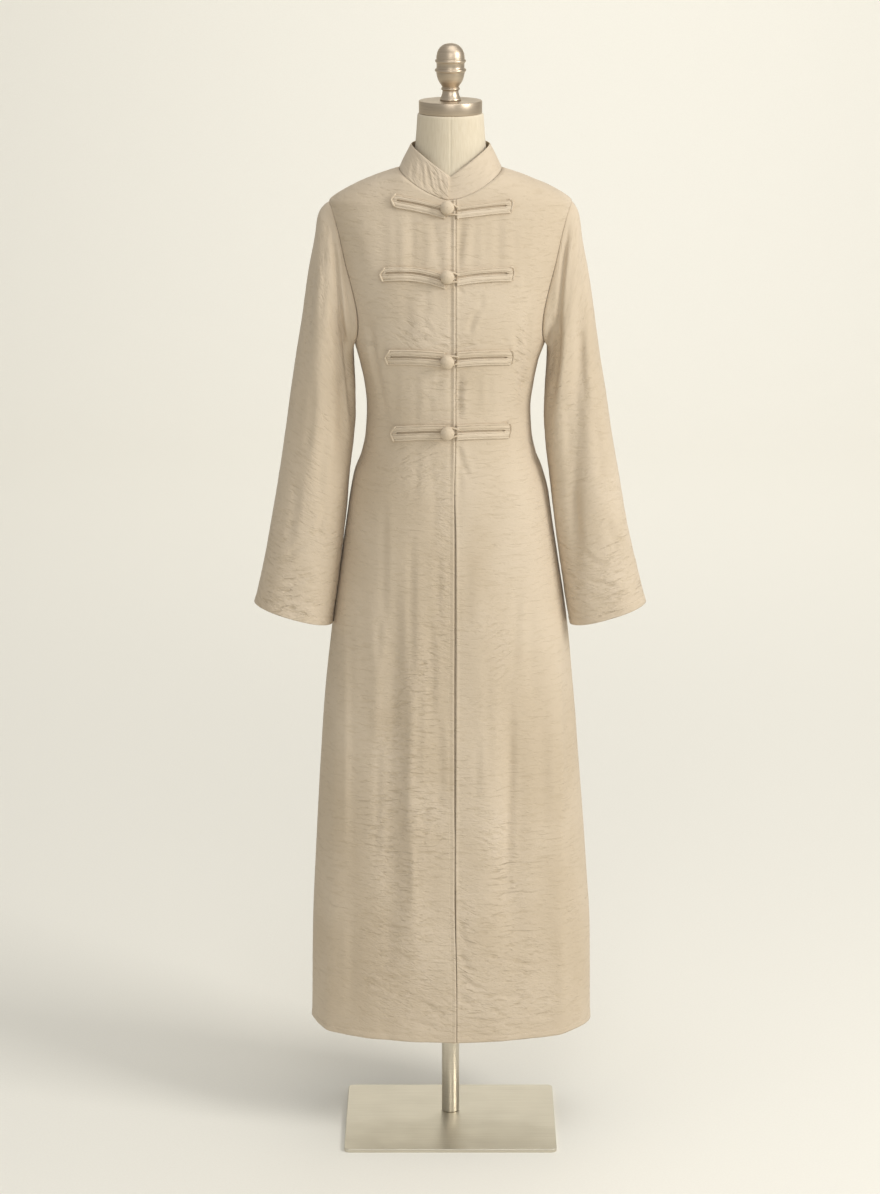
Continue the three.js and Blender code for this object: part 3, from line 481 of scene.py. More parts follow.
def body_folds(face, angle, z):
    out = np.zeros_like(angle)
    radius = (body["half"](z) + body[face](z)) / 2
    for fold in BODY_FOLDS:
        if fold["face"] != face:
            continue
        along = (z - fold["z_low"]) / (fold["z_top"] - fold["z_low"])
        middle = angle_at(face, lerp(fold["x_low"], fold["x_top"], along), z)
        across = (angle - middle) * radius / fold["width"]
        low_end = 1 if fold["z_low"] < HEM_Z else soft_step(along / FOLD_FADE)
        ends = low_end * soft_step((1 - along) / FOLD_FADE)
        inside = (along > 0) & (along < 1)
        out += np.where(inside, fold["depth"] * ends * np.exp(-across * across), 0)
    return out


def cloth_point(face, x, z):
    """The point of the cloth's outer surface that has this x and height on its front or back."""
    angle = angle_at(face, x, z)
    outward = np.stack([np.cos(angle), np.sin(angle), 0 * angle], axis=-1)
    return section_point(body, angle, z) + outward * body_folds(face, angle, z)[..., None]


def cloth_normal(face, x, z):
    """The smooth cloth's outward direction at this x and height."""
    reach = 4.0  # mm to each side
    across = cloth_point(face, x + reach, z) - cloth_point(face, x - reach, z)
    up = cloth_point(face, x, z + reach) - cloth_point(face, x, z - reach)
    normal = np.cross(across, up) * (1 if face == "front" else -1)
    return normal / np.linalg.norm(normal, axis=-1, keepdims=True)


print("waist, middle front:", np.round(cloth_point("front", np.array(0.0), np.array(1215.0)), 1))

# %% [markdown]
# ## Creases placed one by one
# Between the long folds the cloth has creases where it is pulled by a closure, a dart or the
# arm. A crease is a trough with a low ridge beside it along a short line. A negative depth
# swaps the two. They are uneven in length, depth and spacing, and the back has its own.

# %% Creases of the fronts and back
CREASES = table("face x_top z_top x_low z_low width depth bend", [
    # bodice front, wearer's right
    ("front", -61, 1546, -60, 1438, 6, 1.2, 2),
    ("front", -84, 1548, -81, 1410, 7, 1.1, -2),
    ("front", -27, 1542, -21, 1446, 6, 1.4, 1),
    ("front", -12, 1526, -16, 1412, 5, 1.0, -1),
    ("front", -44, 1530, -47, 1432, 7, 0.8, 1),
    ("front", -104, 1540, -106, 1400, 10, 0.9, 3),
    ("front", -72, 1440, -66, 1330, 8, 0.7, 2),
    ("front", -34, 1436, -38, 1370, 7, 0.7, -2),
    ("front", -158, 1516, -132, 1410, 9, 0.7, 3),
    ("front", -121, 1384, -116, 1250, 6, 1.2, -3),
    ("front", -132, 1360, -112, 1236, 5, -1.2, -2),
    ("front", -100, 1340, -118, 1278, 4, 1.0, 2),
    ("front", -44, 1380, -22, 1350, 4, 0.9, -3),
    ("front", -56, 1356, -18, 1334, 4, 0.8, -3),
    ("front", -22, 1352, 0, 1343, 3, 0.9, 0),
    ("front", -22, 1338, 0, 1328, 3, 0.9, 0),
    ("front", -86, 1316, -83, 1196, 6, 0.9, -1),
    ("front", -55, 1308, -56, 1186, 6, 0.9, 2),
    ("front", -16, 1312, -20, 1238, 6, 1.0, -1),
    ("front", -34, 1300, -32, 1208, 7, 0.7, 1),
    ("front", -34, 1182, -30, 1000, 6, 0.9, 7),
    ("front", -54, 1184, -60, 1070, 6, 0.8, 4),
    ("front", -14, 1170, -14, 1040, 6, 0.7, -2),
    # bodice front, wearer's left
    ("front", 22, 1538, 12, 1436, 6, 2.3, -3),
    ("front", 38, 1530, 34, 1440, 7, 0.9, 1),
    ("front", 55, 1534, 54, 1452, 7, 0.6, -1),
    ("front", 73, 1546, 72, 1430, 7, 1.1, 1),
    ("front", 98, 1530, 97, 1390, 6, 0.8, 2),
    ("front", 112, 1500, 118, 1404, 8, 0.9, -4),
    ("front", 10, 1424, 22, 1412, 3, 1.3, 0),
    ("front", 46, 1420, 45, 1384, 5, 0.9, 1),
    ("front", 46, 1392, 28, 1348, 5, 1.9, -4),
    ("front", 12, 1346, 34, 1347, 3, 0.7, 0),
    ("front", 12, 1339, 38, 1338, 3, 0.8, 0),
    ("front", 10, 1331, 44, 1333, 3, 0.7, 1),
    ("front", 103, 1376, 119, 1236, 6, 2.2, -5),
    ("front", 126, 1372, 122, 1276, 5, 1.4, -4),
    ("front", 84, 1352, 92, 1268, 6, 0.7, 3),
    ("front", 16, 1298, 12, 1206, 6, 2.8, -2),
    ("front", 42, 1296, 40, 1222, 6, 0.8, 2),
    ("front", 60, 1290, 62, 1226, 6, 0.6, -1),
    ("front", 10, 1182, 30, 1118, 5, 2.0, -2),
    ("front", 12, 1168, 16, 1084, 4, 0.9, 1),
    # skirt front
    ("front", -104, 1110, -107, 860, 6, 1.5, 1),
    ("front", -60, 1060, -60, 750, 6, 1.7, -1),
    ("front", -50, 830, -56, 560, 6, 1.4, 2),
    ("front", -72, 760, -78, 480, 6, 1.6, -2),
    ("front", -84, 960, -86, 770, 6, 1.0, 2),
    ("front", -128, 900, -134, 620, 7, 1.1, 2),
    ("front", -40, 640, -42, 430, 6, 1.0, -2),
    ("front", -114, 900, -116, 810, 5, 1.4, 1),
    ("front", -115, 730, -122, 450, 6, 1.9, 2),
    ("front", -71, 560, -70, 400, 6, 1.5, 1),
    ("front", -54, 560, -50, 420, 5, 1.5, -1),
    ("front", -34, 940, -30, 700, 6, 1.2, 3),
    ("front", -18, 1020, -16, 850, 5, 1.2, -2),
    ("front", -90, 820, -92, 640, 6, 1.0, 2),
    ("front", -20, 760, -18, 560, 6, 1.2, 2),
    ("front", -140, 960, -146, 640, 9, 1.2, 3),
    ("front", -98, 420, -104, 270, 8, 1.2, 3),
    ("front", -168, 1000, -171, 400, 6, -1.5, 2),
    ("front", -171, 420, -178, 190, 7, -1.2, 2),
    ("front", 55, 870, 58, 610, 8, 1.0, 3),
    ("front", 28, 1020, 30, 860, 8, 0.7, -2),
    ("front", 105, 980, 98, 760, 7, 1.1, 2),
    ("front", 96, 790, 89, 390, 6, 2.6, 2),
    ("front", 44, 720, 43, 570, 6, 1.1, -1),
    ("front", 126, 960, 138, 700, 10, 1.0, -4),
    ("front", 172, 1000, 181, 400, 6, -1.4, 2),
    ("front", 181, 410, 188, 190, 7, -1.2, -2),
    ("front", 150, 780, 156, 500, 8, 0.9, -3),
    ("front", 13, 380, 34, 342, 4, 1.7, -2),
    ("front", 14, 340, 40, 300, 4, 1.8, -3),
    ("front", 15, 300, 62, 270, 4, 2.0, -6),
    ("front", 16, 268, 44, 236, 4, 1.4, -3),
    ("front", 80, 326, 150, 306, 5, 1.3, -4),
    ("front", 84, 300, 146, 290, 4, 1.0, 3),
    ("front", 60, 262, 140, 246, 5, 1.2, 4),
    ("front", 96, 226, 170, 214, 5, 1.0, 3),
    ("front", 30, 222, 92, 216, 4, 1.0, -2),
    ("front", -104, 342, -60, 318, 4, 1.3, 3),
    ("front", -130, 300, -70, 284, 4, 1.1, -3),
    ("front", -60, 254, -14, 226, 5, 1.5, 4),
    ("front", -150, 262, -96, 250, 4, 0.9, 2),
    ("front", -70, 216, -14, 205, 4, 1.1, 2),
    # back
    ("back", -30, 1540, -34, 1450, 7, 1.2, 2),
    ("back", 34, 1536, 42, 1440, 8, 1.3, -3),
    ("back", -92, 1500, -104, 1390, 8, 1.4, 5),
    ("back", 96, 1492, 110, 1378, 7, 1.3, -5),
    ("back", -118, 1370, -84, 1270, 6, 1.8, 6),
    ("back", 120, 1362, 82, 1262, 6, 1.9, -6),
    ("back", -60, 1262, 6, 1244, 5, 1.6, 5),
    ("back", 66, 1236, -10, 1216, 5, 1.7, -5),
    ("back", -74, 1206, 14, 1192, 5, 1.3, 4),
    ("back", 14, 1284, 70, 1270, 5, 1.2, 3),
    ("back", -14, 1170, -20, 1040, 7, 1.8, 2),
    ("back", 26, 1150, 30, 1000, 7, 1.7, -3),
    ("back", -88, 1110, -96, 930, 7, 2.2, 3),
    ("back", 92, 1090, 104, 900, 7, 2.0, -4),
    ("back", -30, 960, -34, 700, 6, 1.9, 3),
    ("back", 36, 900, 40, 640, 6, 1.8, -2),
    ("back", -110, 800, -122, 560, 7, 1.9, -4),
    ("back", 104, 760, 116, 500, 7, 1.8, 4),
    ("back", -16, 620, -18, 400, 6, 1.4, 2),
    ("back", 88, 470, 96, 300, 7, 1.3, -3),
    ("back", -76, 460, -84, 280, 7, 1.4, 3),
    ("back", -166, 980, -176, 420, 6, -1.3, 2),
    ("back", 170, 960, 182, 430, 6, -1.3, -2),
    ("back", -40, 300, 36, 284, 5, 1.2, 4),
    ("back", 60, 248, 130, 262, 5, 1.2, -4),
    ("back", -70, 232, -146, 240, 5, 1.1, 4),
])
RIDGE_SHARE = 0.5    # height of the ridge beside a crease, as a share of its depth
RIDGE_OFFSET = 1.6   # in crease widths
CREASE_FADE = 0.35   # share of a crease's length over which an end softens


def crease_relief(rows, x, z):
    """How far creases move the surface out, at points given by their x and z."""
    out = np.zeros_like(x)
    for row in rows:
        dx = row["x_low"] - row["x_top"]
        dz = row["z_low"] - row["z_top"]
        length = math.hypot(dx, dz)
        along = ((x - row["x_top"]) * dx + (z - row["z_top"]) * dz) / length ** 2
        bow = row["bend"] * np.sin(np.pi * np.clip(along, 0, 1))
        across = (((z - row["z_top"]) * dx - (x - row["x_top"]) * dz) / length - bow) / row["width"]
        ends = soft_step(along / CREASE_FADE) * soft_step((1 - along) / CREASE_FADE)
        ridge = np.exp(-((across - RIDGE_OFFSET) / 1.1) ** 2)
        out += row["depth"] * ends * (RIDGE_SHARE * ridge - np.exp(-across ** 2))
    return out


print("creases:", len(CREASES), "front and back")

# %% [markdown]
# ## Where the crepe ripples
# A hanging crepe doesn't ripple evenly. It is smooth where it is stretched over the chest and
# crinkles where it is free, drawn in or near an edge. The table says where the ripples are
# strong and which way they lean, and a little lattice noise breaks up each patch. Noise also
# gives the slow unevenness of the surface itself.

# %% Ripple patches and noise
PATCHES = table("face x z wide tall strength slant", [
    ("front", -50, 1350, 30, 26, 0.9, 1.0),
    ("front", -8, 1344, 14, 16, 0.9, 0.6),
    ("front", 22, 1337, 20, 16, 0.9, 0.0),
    ("front", 111, 1308, 11, 60, 1.3, 1.0),
    ("front", -46, 1255, 36, 40, 0.6, -0.3),
    ("front", 17, 1255, 9, 40, 1.0, 0.0),
    ("front", -46, 1130, 38, 52, 0.8, -0.9),
    ("front", -12, 980, 12, 140, 1.0, 0.6),
    ("front", -32, 860, 30, 150, 0.8, 0.3),
    ("front", -66, 760, 28, 110, 1.0, -0.8),
    ("front", -104, 640, 30, 130, 0.8, -0.3),
    ("front", -56, 560, 52, 120, 0.9, 0.0),
    ("front", -100, 420, 66, 120, 0.9, 0.3),
    ("front", -50, 330, 66, 90, 0.8, 0.4),
    ("front", -104, 280, 66, 66, 0.9, 0.6),
    ("front", 80, 850, 24, 70, 0.6, -0.8),
    ("front", 58, 700, 32, 90, 0.4, -0.6),
    ("front", 40, 560, 44, 90, 0.6, 0.2),
    ("front", 76, 530, 26, 50, 1.0, 0.8),
    ("front", 100, 440, 36, 84, 0.9, -0.3),
    ("front", 24, 350, 18, 96, 1.2, 1.0),
    ("front", 112, 300, 66, 62, 1.0, 0.4),
    ("front", 90, 230, 90, 40, 0.9, 0.2),
    ("front", -40, 226, 70, 34, 0.8, 0.5),
    ("back", 0, 1420, 60, 60, 0.5, 0.4),
    ("back", -70, 1290, 36, 40, 0.9, 1.0),
    ("back", 66, 1280, 36, 44, 0.9, -1.0),
    ("back", 0, 1210, 90, 46, 1.1, 0.0),
    ("back", -40, 960, 50, 120, 0.8, -0.6),
    ("back", 56, 860, 50, 130, 0.9, 0.5),
    ("back", -90, 640, 54, 130, 0.9, 0.3),
    ("back", 30, 560, 54, 130, 0.8, -0.4),
    ("back", 110, 420, 60, 120, 0.9, 0.4),
    ("back", -30, 320, 90, 80, 1.0, -0.3),
    ("back", 70, 250, 110, 50, 1.0, 0.3),
])
PLAIN_RIPPLE = 0.46  # strength away from the patches
PATCH_SHARE = 0.62   # how much a patch adds to it
NOISE_SIZE = 256
LATTICE = np.random.default_rng(19).random((NOISE_SIZE, NOISE_SIZE))


def lattice_noise(u, v):
    """Smooth noise from 0 to 1 with a lattice step of 1."""
    iu = np.floor(u).astype(int)
    iv = np.floor(v).astype(int)
    su = soft_step(u - iu)
    sv = soft_step(v - iv)
    iu, iv, ju, jv = iu % NOISE_SIZE, iv % NOISE_SIZE, (iu + 1) % NOISE_SIZE, (iv + 1) % NOISE_SIZE
    low = lerp(LATTICE[iu, iv], LATTICE[ju, iv], su)
    high = lerp(LATTICE[iu, jv], LATTICE[ju, jv], su)
    return lerp(low, high, sv)


def broad_ripples(u, v):
    """Height from -0.5 to 0.5 of wide uneven ripples across the cloth (mm)."""
    warp = 10 * lattice_noise(u / 46 + 31, v / 30 + 7)
    wide = lattice_noise(u / 40, (v + warp) / 10)
    narrow = lattice_noise(u / 18 + 57, (v + 0.7 * warp) / 6.5 + 13)
    return 0.65 * wide + 0.35 * narrow - 0.5


def ripple_patches(face, x, z, u):
    """Strength and slant of the ripples at points of a panel."""
    strength = PLAIN_RIPPLE + 0 * x
    lean, weight = 0 * x, 1e-6 + 0 * x
    for row in PATCHES:
        if row["face"] != face:
            continue
        near = np.exp(-((x - row["x"]) / row["wide"]) ** 2 - ((z - row["z"]) / row["tall"]) ** 2)
        strength += PATCH_SHARE * row["strength"] * near
        lean += row["slant"] * near
        weight += near
    uneven = 0.7 + 0.6 * lattice_noise(u / 26 + 17, z / 40 + 23)
    return np.clip(strength * uneven, 0.1, 1.3), lean / weight * soft_step(weight / 0.3)


print("ripple patches:", len(PATCHES))

# %% [markdown]
# ## Thin closed shells
# Cloth has two sides and an edge. Each piece is made as a grid of outer points and a second
# grid just inside it, with a rim between the two, so that cuffs, hem and collar show a real
# edge. The UV map is laid out in metres of cloth, which the material's ripples are drawn in.

# %% From grids of points to a closed shell
CLOTH_THICKNESS = 0.9  # mm, crinkled


def shell_faces(rows, columns, wrapped, flip):
    """Quads of a closed wall: the outer layer, the inner layer and the rims between them."""
    layer = rows * columns
    r = np.arange(rows - 1)[:, None] * columns
    c = np.arange(columns if wrapped else columns - 1)[None, :]
    after = (c + 1) % columns
    corners = [r + c, r + after, r + columns + after, r + columns + c]
    outer = np.stack([k.ravel() for k in corners], axis=1)
    inner = outer[:, [0, 3, 2, 1]] + layer
    c, after = c.ravel(), after.ravel()
    low = np.stack([c, c + layer, after + layer, after], axis=1)
    top = (rows - 1) * columns + np.stack([c, after, after + layer, c + layer], axis=1)
    faces = [outer, inner, low, top]
    if not wrapped:
        k = r.ravel()
        end = k + columns - 1
        faces.append(np.stack([k, k + columns, k + columns + layer, k + layer], axis=1))
        faces.append(np.stack([end, end + layer, end + columns + layer, end + columns], axis=1))
    faces = np.concatenate(faces)
    return faces[:, ::-1] if flip else faces


def unit(vectors):
    return vectors / np.maximum(np.linalg.norm(vectors, axis=-1, keepdims=True), 1e-9)


def grid_normals(points, wrapped=False, flip=False):
    """Outward unit normals of a grid of points."""
    if wrapped:
        sideways = np.roll(points, -1, axis=1) - np.roll(points, 1, axis=1)
    else:
        sideways = np.gradient(points, axis=1)
    normals = unit(np.cross(sideways, np.gradient(points, axis=0)))
    return -normals if flip else normals


def make_piece(name, points, faces, material, uv=None, attributes=None):
    """A smooth mesh object from points in mm, with its UV map in metres."""
    mesh = bpy.data.meshes.new(name)
    faces = faces.tolist() if isinstance(faces, np.ndarray) else faces
    mesh.from_pydata((np.asarray(points) * MM).tolist(), [], faces)
    mesh.polygons.foreach_set("use_smooth", [True] * len(mesh.polygons))
    if uv is not None:
        corner = np.zeros(len(mesh.loops), int)
        mesh.loops.foreach_get("vertex_index", corner)
        layer = mesh.uv_layers.new(name="cloth")
        layer.data.foreach_set("uv", (np.asarray(uv)[corner] * MM).astype(np.float32).ravel())
    for key, values in (attributes or {}).items():
        attribute = mesh.attributes.new(key, "FLOAT", "POINT")
        attribute.data.foreach_set("value", np.asarray(values, np.float32))
    mesh.materials.append(material)
    piece = bpy.data.objects.new(name, mesh)
    bpy.context.scene.collection.objects.link(piece)
    return piece


def place_piece(piece, slot, *nodes):
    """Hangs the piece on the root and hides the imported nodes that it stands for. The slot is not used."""
    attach(piece, "root")
    if nodes:
        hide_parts(*nodes)
    return piece


def cloth_shell(name, base, normals, relief, thickness, uv, strength, slant, wrapped=False, flip=False):
    """A closed cloth shell: base points moved out by relief along the normals, and a layer inside."""
    outer = base + normals * relief[..., None]
    inner = outer - normals * thickness[..., None]
    rows, columns = relief.shape
    points = np.concatenate([outer.reshape(-1, 3), inner.reshape(-1, 3)])
    faces = shell_faces(rows, columns, wrapped, flip)
    doubled = np.concatenate([uv.reshape(-1, 2)] * 2)
    fields = {"crinkle": np.tile(strength.ravel(), 2), "slant": np.tile(slant.ravel(), 2)}
    piece = make_piece(name, points, faces, CREPE, doubled, fields)
    print(f"{name}: {rows} x {columns} points, {2 * len(faces)} triangles")
    return piece, outer


# %% [markdown]
# ## Fronts and back
# Each body panel is cut with a side seam, an armhole, a shoulder seam and a neckline. Its rows
# run from the hem up: the outer end of a row climbs the side seam, goes round the armhole and
# in along the shoulder, while the inner end climbs the middle to the neck. Along each row the
# points are spaced by their distance over the cloth, close together at the edges, where the
# opening's folded band, the hem and the seams need fine form.

# %% Rows of a panel
SEAM_HALF_GAP = 0.04  # mm, the panels meet at their seams
ARMHOLE = {"front": 58, "back": 54, "low_crowding": 1.6}
MIDDLE = {
    "front": {"neck": 1552, "at_shoulder": 1508, "neck_power": 1.65},
    "back": {"neck": 1579, "at_shoulder": 1520, "neck_power": 2},
}
ROWS = {"below": 500, "armhole": 90, "shoulder": 24}


def armhole_spot(face, degrees):
    """Height and depth of the armhole's edge, 0 at the shoulder and 180 at the underarm."""
    lift = ((1 + np.cos(np.radians(degrees))) / 2) ** ARMHOLE["low_crowding"]
    widest = np.sqrt(lift)
    y = ARMHOLE[face] * 2 * np.sqrt(np.maximum(widest * (1 - widest), 0))
    return lerp(UNDERARM_Z, SHOULDER_Z, lift), np.maximum(SEAM_HALF_GAP, y)


def half_width_at_depth(face, y, z):
    power = body["power"](z)
    return body["half"](z) * (1 - (y / body[face](z)) ** power) ** (1 / power)


def panel_rows(face):
    """Outer height, inner height and seam depth of each row, from the hem to the neck."""
    middle = MIDDLE[face]
    below = np.linspace(HEM_Z, UNDERARM_Z, ROWS["below"], endpoint=False)
    turn = np.linspace(180, 0, ROWS["armhole"])
    hole_z, hole_y = armhole_spot(face, turn)
    shoulder = np.linspace(SHOULDER_Z, NECK_Z, ROWS["shoulder"] + 1)[1:]
    share = (shoulder - SHOULDER_Z) / (NECK_Z - SHOULDER_Z)
    outer = np.concatenate([below, hole_z, shoulder])
    inner = np.concatenate([below, lerp(UNDERARM_Z, middle["at_shoulder"], 1 - turn / 180),
                            lerp(middle["at_shoulder"], middle["neck"], share)])
    seam = np.full_like(shoulder, SEAM_HALF_GAP)
    y = np.concatenate([np.full_like(below, SEAM_HALF_GAP), hole_y, seam])
    return outer[:, None], inner[:, None], y[:, None]


def panel_height(face, x, outer_x, outer, inner):
    share = np.minimum(1, np.abs(x / outer_x))
    return lerp(inner, outer, share ** MIDDLE[face]["neck_power"])


def half_panel(face, sign, inside_x, near_inside, near_outside, middle_columns):
    """Points of a panel from inside_x out to its seams, and their distances from both ends."""
    outer, inner, y = panel_rows(face)
    outer_x = body["shift"](outer) + sign * half_width_at_depth(face, y, outer)
    t = np.linspace(0, 1, 140)[None, :]
    x = lerp(inside_x(inner), outer_x, np.sin(t * np.pi / 2))
    trace = cloth_point(face, x, panel_height(face, x, outer_x, outer, inner))
    steps = np.linalg.norm(np.diff(trace, axis=1), axis=-1)
    travelled = np.concatenate([np.zeros((len(steps), 1)), np.cumsum(steps, axis=1)], axis=1)
    length = travelled[:, -1:]
    inside = np.array(near_inside, float)[None, :] + 0 * length
    outside = length - np.array(near_outside, float)[None, :]
    between = np.linspace(0, 1, middle_columns + 2)[None, 1:-1]
    distance = np.concatenate([inside, lerp(inside[:, -1:], outside[:, :1], between), outside], axis=1)
    spread = np.stack([np.interp(d, far, xs) for d, far, xs in zip(distance, travelled, x)])
    z = panel_height(face, spread, outer_x, outer, inner)
    return cloth_point(face, spread, z), distance, length - distance


# %% [markdown]
# ### The front opening
# The wearer's right front ends in a narrow folded band that laps over the left front. The
# left front runs on under it and rolls up a little where it comes out. Above the lowest frog the
# two lie close. Below it the edges part by up to 3 mm down to the shin, and close again towards
# the hem. The table gives the right front's edge and the gap to the left one.

# %% The opening's edges
OPENING = table("z edge gap", [
    (180, 9.6, 0.5),
    (240, 9.8, 0.4),
    (282, 9.4, 0.7),
    (340, 8.2, 0.9),
    (390, 6.9, 1.5),
    (430, 6.3, 2.1),
    (470, 6.6, 1.2),
    (530, 6.7, 1.2),
    (570, 5.9, 2.4),
    (700, 5.8, 2.9),
    (790, 5.7, 3.1),
    (860, 6.2, 2.8),
    (1025, 6.2, 2.3),
    (1075, 5.9, 1.2),
    (1110, 6.3, 0.4),
    (1170, 7.6, 0.3),
    (1260, 8.0, 0.3),
    (1560, 8.0, 0.3),
])
UNDERLAP = 16.0      # mm that the left front runs on under the right one
UNDERLAP_DEPTH = {"closed": 1.9, "open": 4.6}  # mm below the right front's surface
OPEN_GAP = 1.6       # mm of gap at which the underlap lies at its open depth
opening = column_curves(OPENING, "z")


def right_edge_x(z):
    return opening["edge"](z)


def left_start_x(z):
    return opening["edge"](z) + opening["gap"](z) - UNDERLAP


BODICE_FROM = {"z": 1090, "over": 90}  # where the band changes from its skirt form to its bodice form
BAND_CORD = {"skirt": 0.5, "bodice": 1.5, "at": 2.3, "width": 2.4}
BAND_VALLEY = {"skirt": 0.15, "bodice": 0.75, "at": 7.8, "width": 2.6}
BAND_TURN = {"height": -0.3, "width": 0.7}
LEFT_ROLL = {"height": 0.6, "at": 2.2, "width": 2.0}


def hump(distance, at, width):
    """A soft rise of height 1 at a distance."""
    return np.exp(-((distance - at) / width) ** 2)


def right_band_relief(from_edge, z):
    """The folded edge as a soft cord, and the valley where it is stitched down."""
    high = soft_step((z - BODICE_FROM["z"]) / BODICE_FROM["over"])
    cord_height = lerp(BAND_CORD["skirt"], BAND_CORD["bodice"], high)
    cord = cord_height * hump(from_edge, BAND_CORD["at"], BAND_CORD["width"])
    turned = BAND_TURN["height"] * hump(from_edge, 0, BAND_TURN["width"])
    valley_depth = lerp(BAND_VALLEY["skirt"], BAND_VALLEY["bodice"], high)
    valley = -valley_depth * hump(from_edge, BAND_VALLEY["at"], BAND_VALLEY["width"])
    return cord + turned + valley


def left_edge_relief(from_start, z):
    """The left front: under the band, then up to its own level with a soft roll."""
    out = from_start - UNDERLAP
    step = soft_step(out + 0.5)
    roll = LEFT_ROLL["height"] * hump(out, LEFT_ROLL["at"], LEFT_ROLL["width"])
    depth = lerp(UNDERLAP_DEPTH["closed"], UNDERLAP_DEPTH["open"], soft_step(opening["gap"](z) / OPEN_GAP))
    return -depth * (1 - step) + roll * step


# %% [markdown]
# ### Seams and hem
# At a seam the cloth turns in, so the surface dips over the last few millimetres. The hem is
# turned up twice and stitched 10 mm above its edge, where the thread pulls a shallow groove and
# small slanted puckers, and its edge hangs in slow uneven waves.

# %% Relief of seams and hem
SEAM_DIP = 0.35
SEAM_SOFT = 1.3
HEM_BAND = 10.0
RIPPLE_HEIGHT = 1.0  # mm that a ripple of full strength is high at most
HEM_PROUD = 0.5      # mm that the turned hem stands out
HEM_GROOVE = {"depth": 0.8, "width": 1.2}
PUCKER = {"length": 6.0, "rise": 9, "reach": 7.5, "slant": 0.8}
HEM_WAVE = {"height": 4.0, "long": 52, "short": 23, "fade": 34}  # mm
PANEL_SAG = {"height": 1.6, "across": 34, "down": 90}  # mm, slow unevenness of a panel
HEM_DOUBLE = 0.9     # mm by which the turned hem is thicker


def seam_relief(distance):
    return -SEAM_DIP * hump(distance, 0, SEAM_SOFT)


def hem_relief(around, above):
    """The stitched hem: a proud band, a groove at the stitches, and puckers between them."""
    edge = HEM_GROOVE["width"]
    band = HEM_PROUD * soft_step((HEM_BAND + edge - above) / (2 * edge))
    groove = -HEM_GROOVE["depth"] * hump(above, HEM_BAND, edge)
    pull = hump(above, 0.7 * HEM_BAND, PUCKER["reach"])
    slanted = (around + PUCKER["slant"] * above) / PUCKER["length"]
    puckers = pull * (lattice_noise(slanted, above / PUCKER["rise"] + 40) - 0.5)
    return band + groove + puckers


def hem_wave(around, above):
    """The hem's slow in-and-out wave, which fades within a hand's breadth."""
    long = lattice_noise(around / HEM_WAVE["long"] + 5, 0 * above + 3)
    short = lattice_noise(around / HEM_WAVE["short"] + 9, 0 * above + 8)
    return HEM_WAVE["height"] * (long + 0.5 * short - 0.75) * np.exp(-above / HEM_WAVE["fade"])


def panel_shell(name, face, base, from_side, around, edge_relief, shift):
    """A body panel: folds are in its base points, and everything finer is relief on top."""
    flip = face == "back"
    x, z = base[..., 0], base[..., 2]
    above = z - HEM_Z
    from_neck = np.linalg.norm(base[-1][None] - base, axis=-1)
    strength, slant = ripple_patches(face, x, z, around + shift)
    near_edge = soft_step(from_side / 8) * soft_step(from_neck / 7) * soft_step((above - 3) / 12)
    relief = crease_relief([row for row in CREASES if row["face"] == face], x, z)
    relief += RIPPLE_HEIGHT * strength * broad_ripples(around + shift, z)
    sag = lattice_noise((around + shift) / PANEL_SAG["across"], z / PANEL_SAG["down"] + 61)
    relief += PANEL_SAG["height"] * (sag - 0.5)
    relief = relief * near_edge + edge_relief + seam_relief(from_side) + seam_relief(from_neck)
    relief += hem_relief(around, above) + hem_wave(around, above)
    thickness = CLOTH_THICKNESS + HEM_DOUBLE * soft_step((HEM_BAND - above) / 1.5)
    uv = np.stack([around + shift, z], axis=-1)
    normals = grid_normals(base, flip=flip)
    return cloth_shell(name, base, normals, relief, thickness, uv, strength, slant, flip=flip)


# %% The three body panels
# Millimetres over the cloth from an edge, close together where the form changes fast
EDGE_STEPS = [0, 0.4, 0.9, 1.5, 2.1, 2.8, 3.6, 4.5, 5.5, 6.5, 7.5, 8.5, 9.6, 11, 13]
UNDER_STEPS = [0, 6, 11, 14, 14.8, 15.3, 15.7, 16.1, 16.6, 17.2, 18, 19, 20.2, 21.6, 23.4]
SEAM_STEPS = [8.5, 6, 4.4, 3.2, 2.2, 1.4, 0.7, 0]
# Millimetres that give each piece its own stretch of the noise
U_SHIFT = {
    "right": 900, "left": 2300, "back": 4100,
    "sleeve_right": 6100, "sleeve_left": 7700, "collar": 9000,
}

base, from_edge, from_side = half_panel("front", -1, right_edge_x, EDGE_STEPS, SEAM_STEPS, 52)
base, from_edge, from_side = base[:, ::-1], from_edge[:, ::-1], from_side[:, ::-1]
relief = right_band_relief(from_edge, base[..., 2])
front_right, right_grid = panel_shell("cloth_front_right", "front", base, from_side, -from_edge, relief,
                                      U_SHIFT["right"])
place_piece(front_right, "crinkle_linen", "front_right")

base, from_start, from_side = half_panel("front", 1, left_start_x, UNDER_STEPS, SEAM_STEPS, 52)
relief = left_edge_relief(from_start, base[..., 2])
front_left, left_grid = panel_shell("cloth_front_left", "front", base, from_side, from_start, relief,
                                    U_SHIFT["left"])
place_piece(front_left, "crinkle_linen", "front_left")


def middle_x(z):
    return 0 * z


halves = [half_panel("back", sign, middle_x, [0], SEAM_STEPS, 31) for sign in (-1, 1)]
(base_r, far_r, side_r), (base_l, far_l, side_l) = halves
base = np.concatenate([base_r[:, :0:-1], base_l], axis=1)
around = np.concatenate([-far_r[:, :0:-1], far_l], axis=1)
from_side = np.concatenate([side_r[:, :0:-1], side_l], axis=1)
back, back_grid = panel_shell("cloth_back", "back", base, from_side, around, 0 * around, U_SHIFT["back"])
place_piece(back, "crinkle_linen", "back")

